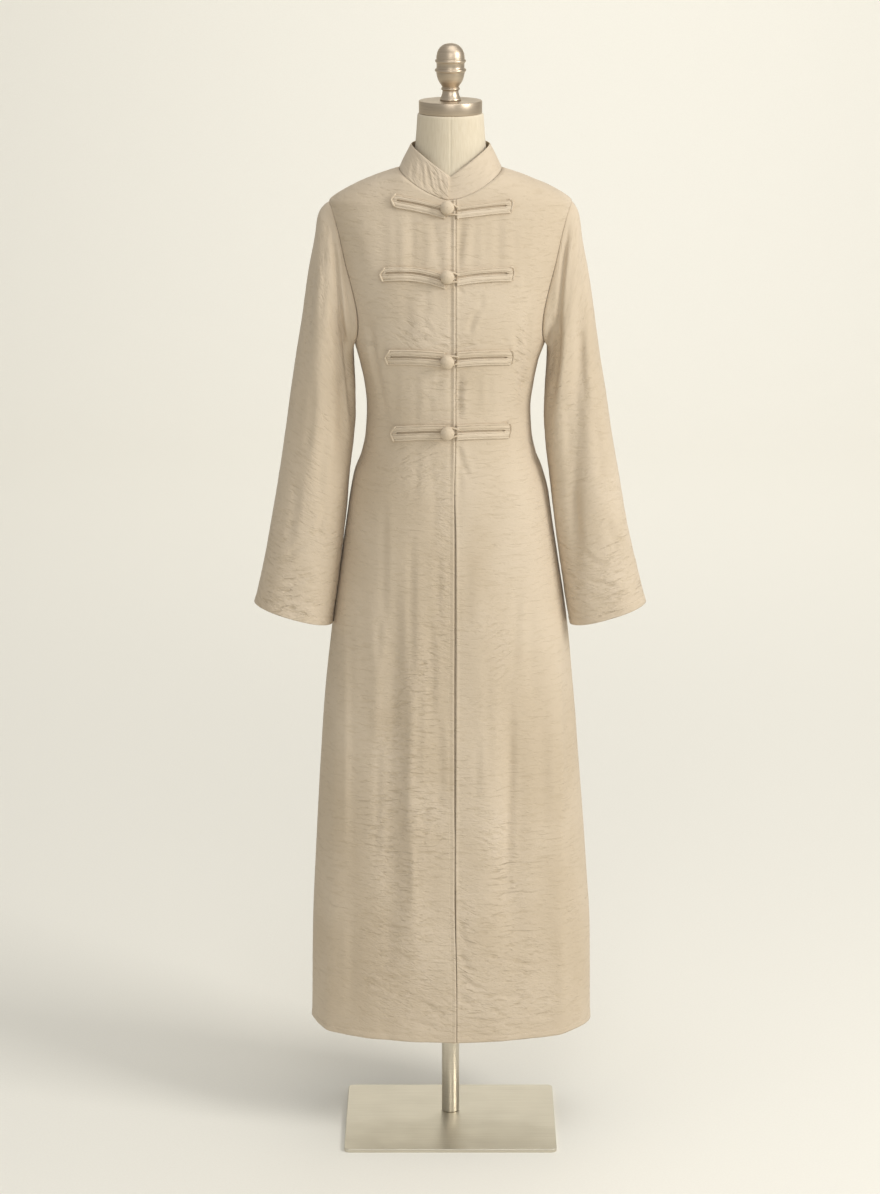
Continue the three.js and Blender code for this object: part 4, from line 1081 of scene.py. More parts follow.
# %% [markdown]
# ## Sleeves
# A set-in sleeve is a tube whose top is eased into the armhole. Its rings are slanted, each
# with an outer and an inner point, and the first ring is the armhole itself. Four or five long
# folds and troughs run down each sleeve, as they do when an arm isn't inside. From ring 7 down
# the inner points lie up to 3.5 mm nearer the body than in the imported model, and the rings 2 to
# 7 mm further forward, because in the photo the sleeves hang close to the skirt.

# %% Sleeve tables and points
SLEEVE = table("at outer_z outer_right outer_left inner_z inner_right inner_left depth forward", [
    (0, 1540, 189, 189, 1326, 152, 152, 57, 0),
    (1, 1519, 205.5, 199, 1314, 153.5, 153.5, 59, 0),
    (2, 1478, 213, 206, 1297, 152.5, 151.5, 61, 1),
    (3, 1426, 223, 216, 1272, 151, 150, 62, 3),
    (4, 1364, 232, 226, 1241, 149.5, 148, 61, 5),
    (5, 1302, 242.5, 235, 1205, 149.5, 147.5, 59, 7),
    (6, 1238, 252.5, 246, 1166, 152.5, 149.5, 57, 9),
    (7, 1170, 262.5, 256.5, 1112, 159.5, 156.5, 55, 12),
    (8, 1100, 273.5, 269, 1052, 165, 163, 53, 15),
    (9, 1030, 285.5, 281, 990, 172.5, 171.5, 51, 18),
    (10, 962, 299, 297, 926, 181, 181, 50, 20),
    (11, 900, 313.5, 312.5, 864, 190, 191, 50, 21),
])
SLEEVE_FOLDS = table("side at_top angle_top at_low angle_low width depth", [
    ("right", 0.7, 98, 7.5, 140, 17, -9),
    ("right", 0.7, 58, 9.5, 96, 20, 4),
    ("right", 0.9, 250, 8.5, 226, 22, -8),
    ("right", 2.5, 292, 11.5, 276, 24, 4),
    ("left", 0.5, 122, 4.2, 150, 15, -7),
    ("left", 1.8, 50, 10.5, 136, 16, -9),
    ("left", 1.6, 84, 9.5, 170, 15, 4),
    ("left", 1.0, 246, 9.2, 216, 20, -8),
    ("left", 3.0, 290, 11.5, 274, 22, 4),
])
SLEEVE_POWER = 2.15
ARMHOLE_FADE = 2.4  # ring positions over which the armhole's own shape is left
SLEEVE_SEAM_GAP = 0.1
sleeve_curves = column_curves(SLEEVE, "at")


def sleeve_fold(side, at, degrees):
    fold = 0 * (at + degrees)
    for row in SLEEVE_FOLDS:
        if row["side"] != side:
            continue
        along = (at - row["at_top"]) / (row["at_low"] - row["at_top"])
        across = (degrees - lerp(row["angle_top"], row["angle_low"], along)) / row["width"]
        ends = soft_step(along / FOLD_FADE) * soft_step((1 - along) / FOLD_FADE)
        fold = fold + row["depth"] * ends * np.exp(-across * across)
    return fold


def sleeve_ring_point(side, at, degrees):
    """A point of the plain sleeve, on the wearer's left. Degrees run from outside to the front."""
    outer_x, outer_z = sleeve_curves[f"outer_{side}"](at), sleeve_curves["outer_z"](at)
    inner_x, inner_z = sleeve_curves[f"inner_{side}"](at), sleeve_curves["inner_z"](at)
    angle = np.radians(degrees)
    reach_x, reach_z = (outer_x - inner_x) / 2, (outer_z - inner_z) / 2
    reach = np.hypot(reach_x, reach_z)
    fold = sleeve_fold(side, at, degrees)
    power = 2 / SLEEVE_POWER
    sideways = 1 + signed_power(np.cos(angle), power)
    x = inner_x + reach_x * sideways + reach_x / reach * fold * np.cos(angle)
    z = inner_z + reach_z * sideways + reach_z / reach * fold * np.cos(angle)
    forward, depth = sleeve_curves["forward"](at), sleeve_curves["depth"](at)
    y = -forward - depth * signed_power(np.sin(angle), power) - fold * np.sin(angle)
    return np.stack(np.broadcast_arrays(x, y, z), axis=-1)


def armhole_edge(side, degrees):
    """Points of the body's cloth along the side's armhole."""
    sign = -1 if side == "right" else 1
    points = np.zeros((len(degrees), 3))
    for face, chosen in (("front", degrees <= 180), ("back", degrees > 180)):
        from_top = np.minimum(degrees, 360 - degrees)[chosen]
        z, y = armhole_spot(face, from_top)
        x = body["shift"](z) + sign * half_width_at_depth(face, y, z)
        points[chosen] = cloth_point(face, x, z)
    return points


def sleeve_points(side, at, degrees):
    """The sleeve's grid: rows by ring position, columns by degrees."""
    seam = armhole_edge(side, degrees)
    seam[:, 0] = np.abs(seam[:, 0]) + SLEEVE_SEAM_GAP
    start = sleeve_ring_point(side, 0.0, degrees)
    fade = soft_step(1 - at / ARMHOLE_FADE)
    rings = sleeve_ring_point(side, at[:, None], degrees[None, :])
    points = rings + (seam - start)[None] * fade[:, None, None]
    points[..., 0] *= -1 if side == "right" else 1
    return points


# %% [markdown]
# ### Creases of the sleeves
# The sleeves' creases are placed like those of the body, with their own table: some for what
# the front shows and some for the back. The crepe crinkles most towards the cuffs.

# %% Sleeve creases and shells
SLEEVE_CREASES = table("side face x_top z_top x_low z_low width depth bend", [
    ("right", "front", -187, 1532, -163, 1250, 4, 5.0, 3),
    ("right", "front", -171, 1390, -153, 1170, 5, 6.5, 2),
    ("right", "front", -178, 1470, -160, 1290, 5, -2.4, 2),
    ("right", "front", -198, 1514, -204, 1330, 6, 2.0, 4),
    ("right", "front", -208, 1480, -224, 1290, 7, 1.8, -4),
    ("right", "front", -170, 1300, -176, 1160, 6, 1.8, 4),
    ("right", "front", -214, 1290, -232, 1120, 7, 1.7, 4),
    ("right", "front", -190, 1200, -206, 1060, 7, 1.6, -5),
    ("right", "front", -240, 1130, -262, 980, 7, 1.5, 4),
    ("right", "front", -196, 1080, -214, 1010, 5, 1.4, 3),
    ("right", "front", -224, 1010, -262, 976, 5, 1.4, -4),
    ("right", "front", -214, 960, -268, 940, 5, 1.4, 4),
    ("right", "front", -240, 920, -292, 932, 5, 1.1, -3),
    ("right", "back", -190, 1490, -200, 1350, 7, 1.6, 4),
    ("right", "back", -176, 1360, -182, 1230, 6, 1.7, -4),
    ("right", "back", -214, 1310, -232, 1150, 7, 1.6, 4),
    ("right", "back", -190, 1190, -208, 1040, 7, 1.6, -4),
    ("right", "back", -232, 1060, -262, 1010, 6, 1.4, 4),
    ("right", "back", -214, 960, -270, 950, 5, 1.2, -3),
    ("left", "front", 185, 1528, 165, 1310, 4, 4.4, -3),
    ("left", "front", 200, 1500, 208, 1320, 6, 2.2, 5),
    ("left", "front", 170, 1390, 156, 1210, 5, 4.6, 3),
    ("left", "front", 206, 1360, 214, 1210, 6, 2.0, -4),
    ("left", "front", 178, 1260, 184, 1110, 6, 1.7, 4),
    ("left", "front", 222, 1230, 238, 1080, 7, 1.5, 4),
    ("left", "front", 196, 1120, 208, 990, 6, 1.7, -4),
    ("left", "front", 240, 1060, 268, 960, 7, 1.3, 4),
    ("left", "front", 206, 1000, 250, 966, 5, 1.5, -4),
    ("left", "front", 214, 942, 274, 930, 5, 1.5, 4),
    ("left", "front", 236, 902, 290, 916, 5, 1.2, -3),
    ("left", "back", 192, 1484, 200, 1350, 7, 1.6, -4),
    ("left", "back", 174, 1370, 176, 1230, 6, 1.7, 4),
    ("left", "back", 214, 1300, 230, 1140, 7, 1.6, -4),
    ("left", "back", 188, 1180, 204, 1030, 7, 1.6, 4),
    ("left", "back", 236, 1050, 264, 1000, 6, 1.4, -4),
    ("left", "back", 212, 950, 272, 938, 5, 1.2, 3),
])
SLEEVE_ROWS = 310
SLEEVE_COLUMNS = 100
CUFF_BAND = 12.0
CUFF_PROUD = 0.35    # mm that the turned cuff stands out
CUFF_GROOVE = {"depth": 0.45, "width": 1.1}
CUFF_DOUBLE = 0.8    # mm by which the turned cuff is thicker
CUFF_WAVE = {"height": 1.6, "around": 34, "fade": 22}    # mm
SLEEVE_SAG = {"height": 1.4, "around": 30, "along": 70}  # mm, slow unevenness of a sleeve
CAP_EASE = 1.2       # mm of fullness eased into the top


def sleeve_grid(side):
    """Base points of a sleeve in even steps down its front, and the distances along and around."""
    last = float(SLEEVE[-1]["at"])
    probe = np.linspace(0, last, 600)
    front_line = sleeve_points(side, probe, np.array([90.0]))[:, 0]
    travelled = np.concatenate([[0], np.cumsum(np.linalg.norm(np.diff(front_line, axis=0), axis=1))])
    down = np.linspace(0, travelled[-1], SLEEVE_ROWS)
    degrees = np.linspace(0, 360, SLEEVE_COLUMNS, endpoint=False)
    base = sleeve_points(side, np.interp(down, travelled, probe), degrees)
    ring_steps = np.linalg.norm(np.roll(base, -1, axis=1) - base, axis=-1)
    around = np.cumsum(ring_steps, axis=1) - ring_steps
    return base, around, down[:, None] + 0 * around


def sleeve_creases(side, base, normals):
    relief = 0 * base[..., 0]
    for face, facing in (("front", -normals[..., 1]), ("back", normals[..., 1])):
        rows = [row for row in SLEEVE_CREASES if row["side"] == side and row["face"] == face]
        relief += crease_relief(rows, base[..., 0], base[..., 2]) * soft_step(facing / 0.35)
    return relief


def sleeve_shell(side, shift):
    """A set-in sleeve as one closed tube of cloth, open at both ends."""
    flip = side == "right"
    base, around, along = sleeve_grid(side)
    normals = grid_normals(base, True, flip)
    u = around + shift
    to_cuff = along[-1, 0] - along
    near_edge = soft_step(along / 9) * soft_step(to_cuff / 10)
    ease = CAP_EASE * soft_step(along / 5) * soft_step((34 - along) / 26)
    uneven = 0.5 + 0.9 * lattice_noise(u / 30, along / 44 + 5)
    strength = np.clip((0.55 + 0.5 * soft_step((260 - to_cuff) / 220)) * uneven, 0.15, 1.5)
    slant = np.clip(2.4 * lattice_noise(u / 60 + 5, along / 120) - 1.0, -1, 1)
    relief = sleeve_creases(side, base, normals)
    sag = lattice_noise(u / SLEEVE_SAG["around"], along / SLEEVE_SAG["along"])
    relief += RIPPLE_HEIGHT * strength * broad_ripples(u, along) + SLEEVE_SAG["height"] * (sag - 0.5)
    relief = relief * near_edge + ease + seam_relief(along)
    wave = lattice_noise(u / CUFF_WAVE["around"], 0 * along + 2)
    relief += CUFF_WAVE["height"] * (wave - 0.5) * np.exp(-to_cuff / CUFF_WAVE["fade"])
    proud = CUFF_PROUD * soft_step((CUFF_BAND - to_cuff) / 2)
    relief += proud - CUFF_GROOVE["depth"] * hump(to_cuff, CUFF_BAND, CUFF_GROOVE["width"])
    thickness = CLOTH_THICKNESS + CUFF_DOUBLE * soft_step((CUFF_BAND - to_cuff) / 1.5)
    uv = np.stack([u, along], axis=-1)
    piece, outer = cloth_shell(f"cloth_sleeve_{side}", base, normals, relief, thickness, uv, strength,
                               slant, wrapped=True, flip=flip)
    return place_piece(piece, "crinkle_linen", f"sleeve_{side}"), outer, to_cuff[:, 0]


sleeve_right, sleeve_right_grid, to_cuff = sleeve_shell("right", U_SHIFT["sleeve_right"])
sleeve_left, sleeve_left_grid, _ = sleeve_shell("left", U_SHIFT["sleeve_left"])

# %% [markdown]
# ## Stand collar
# The collar is a straight band of two layers that stands on the neckline. Its ends lap at the
# front, the wearer's right on top, and the upper corner of that end is rounded. It leans in
# towards the neck, and near its end it pulls into short slanted wrinkles.

# %% The collar band
COLLAR_TOP = {"half": 61.5, "front": 61.5, "back": 58}
COLLAR_TOP_Z = {"middle_front": 1586, "side": 1629.5, "middle_back": 1634}
COLLAR_ENDS = {"upper": -3, "under": -11}
COLLAR_LAP = 1.05
LAP_FADE = {"upper": 0.05, "under": 0.09}
COLLAR_START = 0.2      # mm above the panels
COLLAR_THICKNESS = 1.5  # two layers
COLLAR_CORNER = {"upper": 10.0, "under": 2.5}  # mm, radius of the upper corners
COLLAR_ROWS = 30
COLLAR_COLUMNS = 320
COLLAR_CREASES = table("from_upper rise_low rise_top slant width depth", [
    (7, 0.30, 0.95, 9, 2.4, 0.7),
    (11, 0.05, 0.80, 13, 2.6, 1.0),
    (17, 0.10, 0.90, 15, 2.8, 1.1),
    (23, 0.00, 0.70, 14, 2.6, 0.9),
    (30, 0.10, 0.95, 16, 3.0, 1.0),
    (38, 0.00, 0.75, 14, 3.0, 0.8),
    (48, 0.15, 0.90, 12, 3.4, 0.7),
    (62, 0.00, 0.60, 9, 4.0, 0.6),
    (110, 0.10, 0.80, -6, 6, 0.7),
    (165, 0.00, 0.70, 5, 7, 0.8),
    (220, 0.20, 1.00, -6, 7, 0.7),
    (280, 0.00, 0.70, 6, 6, 0.7),
    (330, 0.10, 0.90, -12, 5, 0.6),
    (356, 0.00, 0.60, -14, 5, 0.7),
])


def neckline_point(face, x):
    middle = MIDDLE[face]
    share = np.minimum(1, np.abs(x) / NECK_HALF_WIDTH)
    return cloth_point(face, x, lerp(middle["neck"], NECK_Z, share ** middle["neck_power"]))


def collar_top(angle):
    share = np.abs(np.cos(angle))
    front = np.sin(angle) < 0
    y = np.where(front, COLLAR_TOP["front"], COLLAR_TOP["back"]) * np.sin(angle)
    side = COLLAR_TOP_Z["side"]
    z = np.where(front, lerp(COLLAR_TOP_Z["middle_front"], side, share),
                 lerp(COLLAR_TOP_Z["middle_back"], side, share * share))
    return np.stack([COLLAR_TOP["half"] * np.cos(angle), y, z], axis=-1)


def collar_edges():
    """Angles round the neck from the under end to the upper one, and both edges of the band."""
    under_end = -math.acos(COLLAR_ENDS["under"] / NECK_HALF_WIDTH)
    upper_end = math.tau - math.acos(COLLAR_ENDS["upper"] / NECK_HALF_WIDTH)
    angle = lerp(under_end, upper_end, np.linspace(0, 1, COLLAR_COLUMNS))
    low = np.zeros((COLLAR_COLUMNS, 3))
    for face, chosen in (("front", np.sin(angle) < 0), ("back", np.sin(angle) >= 0)):
        low[chosen] = neckline_point(face, NECK_HALF_WIDTH * np.cos(angle[chosen]))
    return angle, low, collar_top(angle)


def corner_cut(from_end, radius):
    """How far a rounded corner lowers the upper edge."""
    into = np.clip(1 - from_end / radius, 0, 1)
    return radius * (1 - np.sqrt(1 - into ** 2))


def collar_relief(from_upper, up, rise):
    relief = 0 * from_upper
    for row in COLLAR_CREASES:
        along = (rise - row["rise_low"]) / (row["rise_top"] - row["rise_low"])
        across = (from_upper - row["from_upper"] - row["slant"] * along) / row["width"]
        ends = soft_step(along / 0.3) * soft_step((1 - along) / 0.3)
        relief += row["depth"] * ends * (0.5 * np.exp(-(across - 1.6) ** 2) - np.exp(-across ** 2))
    return relief + 0.5 * broad_ripples(from_upper + 300, up) * soft_step(up / 5)


def collar_shell():
    """The collar's shell, from its under end round the back of the neck to its upper end."""
    angle, low, top = collar_edges()
    share = np.linspace(0, 1, COLLAR_COLUMNS)
    height = np.linalg.norm(top - low, axis=1)
    around = np.concatenate([[0], np.cumsum(np.linalg.norm(np.diff((top + low) / 2, axis=0), axis=1))])
    to_upper = around[-1] - around
    cut = corner_cut(to_upper, COLLAR_CORNER["upper"]) + corner_cut(around, COLLAR_CORNER["under"])
    rise = np.linspace(0, 1, COLLAR_ROWS)[:, None]
    reach = lerp(COLLAR_START / height, 1 - cut / height, rise)
    base = low[None] + (top - low)[None] * reach[..., None]
    upper_lap = soft_step(1 - (1 - share) / LAP_FADE["upper"])
    under_lap = soft_step(1 - share / LAP_FADE["under"])
    lap = COLLAR_LAP * (upper_lap - under_lap)
    base = base + np.stack([np.cos(angle) * lap, np.sin(angle) * lap, 0 * lap], axis=-1)[None]
    up = rise * height
    from_upper = to_upper + 0 * rise
    round_top = np.sqrt(np.clip((height - up) / 1.6, 0, 1)) - 1
    relief = collar_relief(from_upper, up, rise) + 0.6 * round_top + seam_relief(up)
    relief += 0.5 * (np.clip(from_upper / 1.6, 0, 1) - 1)
    thickness = COLLAR_THICKNESS + 0.9 * round_top
    uv = np.stack([U_SHIFT["collar"] - from_upper, up], axis=-1)
    strength = 0.45 + 0.6 * np.exp(-(from_upper / 60) ** 2)
    slant = np.exp(-(from_upper / 90) ** 2)
    return cloth_shell("cloth_collar", base, grid_normals(base), relief, thickness, uv, strength, slant)


collar, collar_grid = collar_shell()
place_piece(collar, "crinkle_linen", "collar")

# %% [markdown]
# ## Frog closures
# A frog is a bias strip, folded and sewn down as two legs that meet in a mitred tip. Each leg
# is a flat pad with firm edges and a stitched line along each edge. Its points are dropped onto
# the finished front with a ray, so the strip follows every fold. The tips are bound: an
# arrowhead on the button's side, and a small ear on the loop's.

# %% Dropping points onto the fronts
def surface_of(piece):
    """A search tree of a finished piece, in metres."""
    mesh = piece.data
    points = np.zeros(len(mesh.vertices) * 3)
    mesh.vertices.foreach_get("co", points)
    faces = [tuple(p.vertices) for p in mesh.polygons]
    return BVHTree.FromPolygons([Vector(p) for p in points.reshape(-1, 3)], faces)


FRONT_SURFACES = {"button_side": surface_of(front_right), "loop_side": surface_of(front_left)}
IN_FRONT = -0.4  # metres


def on_front(side, x, z):
    """Points of a front at these x and heights (mm), and the smooth cloth's normals there."""
    surface = FRONT_SURFACES[side]
    spots = [surface.ray_cast(Vector((a * MM, IN_FRONT, b * MM)), Vector((0, 1, 0)))[0]
             for a, b in zip(np.ravel(x), np.ravel(z))]
    spots = np.array([tuple(spot) for spot in spots]).reshape(np.shape(x) + (3,)) / MM
    return spots, cloth_normal("front", x, z)


# %% [markdown]
# ### Legs of a frog
# The table gives, for each frog, the height of its button and, for each side, the height of the
# slot between its legs at the opening, halfway and at the tip, then where the tips are and how
# wide the upper and lower legs are.

# %% The strips
FROGS = table("z in_right mid_right end_right in_left mid_left end_left tip_right tip_left upper lower", [
    (1538, 1535, 1545, 1551, 1535, 1539.5, 1542.5, -92, 95, 7, 11),
    (1438, 1433, 1443.5, 1440, 1437.5, 1442.5, 1442, -109, 97, 8.5, 12),
    (1311, 1312.5, 1315.5, 1312, 1313, 1315, 1312, -101, 96, 11, 12),
    (1195.5, 1196, 1194.5, 1188.5, 1196, 1196, 1192, -93, 93, 11, 12.5),
])
STRIP_PARTING = 3.1
STRIP_HEIGHT = 3.9
STRIP_SINK = 0.4     # how far the underside is sewn into the cloth
SLOT_END = 9.0       # mm from the tip at which the slot closes
LEG_STATIONS = 44
TIP_MITRE = {"button_side": 6.5, "loop_side": 3.0}
LEGS_START_X = {"button_side": -8.0, "loop_side": 9.4}
# Across from the slot and up, with a stitched line near each edge and the outer edge undercut
SECTION = np.array([
    (0.03, 0.0), (0.0, 0.4), (0.0, 0.74), (0.03, 0.92), (0.09, 1.0), (0.16, 0.96),
    (0.2, 0.78), (0.24, 0.96), (0.5, 1.0), (0.73, 0.95), (0.77, 0.72), (0.81, 0.95),
    (0.9, 1.0), (0.97, 0.92), (1.02, 0.72), (1.02, 0.45), (0.88, 0.0),
])


def frog_slot(frog, side, share):
    """Height of the slot between the legs: 0 at the opening and 1 at the tip."""
    tag = "right" if side == "button_side" else "left"
    start, middle, end = (frog[f"{key}_{tag}"] for key in ("in", "mid", "end"))
    bow = 4 * (middle - (start + end) / 2)
    return lerp(start, end, share) + bow * share * (1 - share)


def frog_leg(frog, side, leg):
    """One padded leg of a frog: a grid of stations by section points. leg is 1 above, -1 below."""
    inner_x = LEGS_START_X[side]
    tip_x = frog["tip_right" if side == "button_side" else "tip_left"]
    away = math.copysign(1, tip_x - inner_x)
    width = frog["upper" if leg > 0 else "lower"]
    across, up = SECTION[None, :, 0], SECTION[None, :, 1]
    share = np.linspace(0, 1, LEG_STATIONS + 1)[:, None]
    end_x = tip_x - away * TIP_MITRE[side] * np.clip(across, 0, 1) ** 1.4
    x = lerp(inner_x, end_x, share)
    to_tip = np.abs(tip_x - x)
    parting = STRIP_PARTING / 2 * soft_step((to_tip - SLOT_END) / 2)
    slot = frog_slot(frog, side, (x - inner_x) / (tip_x - inner_x))
    z = slot + leg * (parting + across * (width - parting))
    spots, normals = on_front(side, x, z)
    full = np.sqrt(np.clip((1 - share) * LEG_STATIONS / 1.5 + 0.25, 0, 1))
    lift = STRIP_HEIGHT * up * full - STRIP_SINK
    uv = np.stack([x + 0 * z, 1.7 * (z - slot) + 60 * leg], axis=-1)
    return spots + normals * lift[..., None], uv


def closed_bar(grid):
    """Faces of a bar from a grid of stations by section points, closed below and at both ends."""
    stations, count = grid.shape[:2]
    faces = []
    for i in range(stations - 1):
        for k in range(count):
            after = (k + 1) % count
            faces.append((count * i + k, count * i + after, count * (i + 1) + after, count * (i + 1) + k))
    faces.append(tuple(range(count - 1, -1, -1)))
    faces.append(tuple(range(count * (stations - 1), count * stations)))
    return faces


def joined(parts):
    """Joins (points, faces, uv) parts into one list of each."""
    points, faces, uv = [], [], []
    for part_points, part_faces, part_uv in parts:
        faces += [tuple(k + len(points) for k in face) for face in part_faces]
        points += list(part_points)
        uv += list(part_uv)
    return np.array(points), faces, np.array(uv)


def outward_faces(piece):
    """Turns every face of a closed piece outward."""
    shape = bmesh.new()
    shape.from_mesh(piece.data)
    bmesh.ops.recalc_face_normals(shape, faces=shape.faces)
    shape.to_mesh(piece.data)
    shape.free()


# %% [markdown]
# ### Cords
# The bound tips and the loops are soft cords. A cord is a tube of even radius along a line of
# points, and one function makes every cord here.

# %% Cords and whole frogs
CORD_SIDES = 10


def cord(path, radius, flat=1.0):
    """A tube along a path in mm, with rounded ends. flat below 1 presses it towards the cloth."""
    path = np.array(path, float)
    tangents = unit(np.gradient(path, axis=0))
    sideways = unit(np.cross(tangents, (0.0, -1.0, 0.0)))
    out = np.cross(sideways, tangents)
    turn = np.linspace(0, math.tau, CORD_SIDES, endpoint=False)
    steps = np.linspace(0, 1, len(path))
    size = radius * np.sqrt(np.clip(np.minimum(steps, 1 - steps) * len(path) / 1.5 + 0.12, 0, 1))
    ring = (np.cos(turn)[None, :, None] * sideways[:, None]
            + flat * np.sin(turn)[None, :, None] * out[:, None]) * size[:, None, None]
    grid = path[:, None] + ring
    uv = np.stack(np.broadcast_arrays(steps[:, None] * 20, turn[None, :] * radius), axis=-1)
    return grid.reshape(-1, 3), closed_bar(grid), uv.reshape(-1, 2)


def smooth_path(corners, steps):
    """Points along straight stretches between corners, softened once."""
    corners = np.array(corners, float)
    at = np.linspace(0, len(corners) - 1, steps)
    path = np.stack([np.interp(at, np.arange(len(corners)), column) for column in corners.T], axis=1)
    for _ in range(3):
        path[1:-1] = (path[:-2] + 2 * path[1:-1] + path[2:]) / 4
    return path


TIP_CORD = {"button_side": 1.9, "loop_side": 1.2}


def tip_binding(frog, side):
    """The cord that binds the tip: an arrowhead, or a small ear over the upper corner."""
    tip_x = frog["tip_right" if side == "button_side" else "tip_left"]
    slot = float(frog_slot(frog, side, 1.0))
    upper, lower = frog["upper"], frog["lower"]
    if side == "button_side":
        corners = [(tip_x + 9, slot + upper + 1.5), (tip_x + 0.5, slot), (tip_x + 6.5, slot - lower + 0.5)]
    else:
        corners = [(tip_x - 6, slot + upper + 1.0), (tip_x - 1.5, slot + upper + 1.5),
                   (tip_x + 0.5, slot + 1), (tip_x - 2.5, slot - lower + 1.5)]
    flat_path = smooth_path(corners, 15)
    spots, normals = on_front(side, flat_path[:, 0], flat_path[:, 1])
    return cord(spots + normals * (STRIP_HEIGHT - STRIP_SINK - 0.2), TIP_CORD[side], 0.8)


def frog_piece(frog, side, name):
    """Both legs of one frog and its bound tip, as one piece."""
    parts = []
    for leg in (1, -1):
        grid, uv = frog_leg(frog, side, leg)
        parts.append((grid.reshape(-1, 3), closed_bar(grid), uv.reshape(-1, 2)))
    parts.append(tip_binding(frog, side))
    points, faces, uv = joined(parts)
    fields = {"crinkle": [0.7] * len(points), "slant": [0] * len(points)}
    piece = make_piece(name, points, faces, TRIM, uv, fields)
    outward_faces(piece)
    return piece


frogs = {"button_side": [], "loop_side": []}
for number, frog in enumerate(FROGS, 1):
    for side in frogs:
        piece = frog_piece(frog, side, f"frog_strips_{side}_{number}")
        place_piece(piece, "frog_trim", f"frog_{side}_{number}")
        frogs[side].append(piece)
print("frogs:", len(frogs["button_side"]) + len(frogs["loop_side"]))

# %% [markdown]
# ## Covered ball buttons and their loops
# Each button is a padded ball covered in the garment's cloth. Its cover is not quite round, and
# faint pleats run in towards the back where the cloth is gathered. A thin loop comes out of
# the strips of the other side and passes behind the ball.

# %% Ball buttons
BUTTON_X = -5
BUTTON_RADIUS = 10.8
BUTTON_HEIGHT = 18
BUTTON_SEAT = 3.0
BUTTON_RINGS = 28
BUTTON_SIDES = 48
BUTTON_PLEATS = 11


def ball_faces(rings, sides):
    """Faces of rings of points with a point at the back and one at the front."""
    faces = []
    for k in range(sides):
        after = (k + 1) % sides
        for r in range(rings - 1):
            faces.append((r * sides + k, r * sides + after, (r + 1) * sides + after, (r + 1) * sides + k))
        faces.append((after, k, rings * sides))
        faces.append(((rings - 1) * sides + k, (rings - 1) * sides + after, rings * sides + 1))
    return faces


def button_piece(number, z):
    """A ball on an axis that points out of the chest, with pleats towards its back."""
    seat, normal = on_front("button_side", np.array(float(BUTTON_X)), np.array(float(z)))
    across = unit(np.cross(normal, (0, 0, 1.0)))
    up = np.cross(across, normal)
    turn = np.linspace(0, math.pi, BUTTON_RINGS + 1)[1:-1, None]
    angle = np.linspace(0, math.tau, BUTTON_SIDES, endpoint=False)[None, :]
    pleats = 1 + 0.03 * np.cos(BUTTON_PLEATS * angle + number) * soft_step(1.5 - turn)
    lumps = 1 + 0.04 * (lattice_noise(2.2 * np.sin(angle) + 5 * number, 2.2 * turn) - 0.5)
    radius = BUTTON_RADIUS * np.sin(turn) * pleats * lumps
    height = BUTTON_HEIGHT * (1 - np.cos(turn)) / 2 + 0 * angle + BUTTON_SEAT
    ring = radius[..., None] * (np.cos(angle)[..., None] * across + np.sin(angle)[..., None] * up)
    points = (seat + ring + height[..., None] * normal).reshape(-1, 3)
    ends = [seat + normal * BUTTON_SEAT, seat + normal * (BUTTON_SEAT + BUTTON_HEIGHT)]
    points = np.concatenate([points, ends])
    laid_out = np.broadcast_arrays(angle * BUTTON_RADIUS, turn * BUTTON_RADIUS)
    round_uv = np.stack(laid_out, axis=-1).reshape(-1, 2)
    uv = np.concatenate([round_uv, [(0, 0), (0, math.pi * BUTTON_RADIUS)]])
    fields = {"crinkle": np.full(len(points), 0.6), "slant": np.zeros(len(points))}
    faces = ball_faces(BUTTON_RINGS - 1, BUTTON_SIDES)
    piece = make_piece(f"ball_button_{number}", points, faces, TRIM, uv, fields)
    return place_piece(piece, "frog_trim", f"button_{number}")


buttons = [button_piece(number, frog["z"]) for number, frog in enumerate(FROGS, 1)]
print("buttons:", len(buttons))

# %% Loops
LOOP_CORD = 1.5
LOOP_REACH = 8.6      # mm from the ball's axis, under the ball
LOOP_SPREAD = 7.5     # mm above and below the slot where the loop leaves the strips
LOOP_OUT = 3.4        # mm in front of the cloth


def loop_piece(number, frog):
    """A cord from the upper leg round behind the ball and back to the lower leg."""
    z, slot = frog["z"], frog["in_left"]
    turn = np.radians(np.linspace(62, 298, 15))
    ring = [(BUTTON_X + LOOP_REACH * math.cos(a), z + LOOP_REACH * math.sin(a)) for a in turn]
    corners = [(13.5, slot + 4.5), (9.5, slot + 5.0), (4.5, z + LOOP_SPREAD)] + ring
    corners += [(4.5, z - LOOP_SPREAD), (9.5, slot - 5.5), (13.5, slot - 5.0)]
    flat_path = smooth_path(corners, 44)
    spots = cloth_point("front", flat_path[:, 0], flat_path[:, 1])
    normals = cloth_normal("front", flat_path[:, 0], flat_path[:, 1])
    points, faces, uv = cord(spots + normals * LOOP_OUT, LOOP_CORD)
    fields = {"crinkle": [0.4] * len(points), "slant": [0] * len(points)}
    piece = make_piece(f"button_loop_{number}", points, faces, TRIM, uv, fields)
    outward_faces(piece)
    return place_piece(piece, "frog_trim")


loops = [loop_piece(number, frog) for number, frog in enumerate(FROGS, 1)]
print("loops:", len(loops))

# %% [markdown]
# ## Stitches
# Straight lockstitches hold the hem, the cuffs and the front band. Each stitch is a short
# tapered bar partly sunk into the cloth, and a whole row of them is one piece.

# %% Rows of stitches
STITCH = {"pitch": 3.2, "length": 2.3, "radius": 0.28, "above": 0.12, "taper": 0.35}  # mm
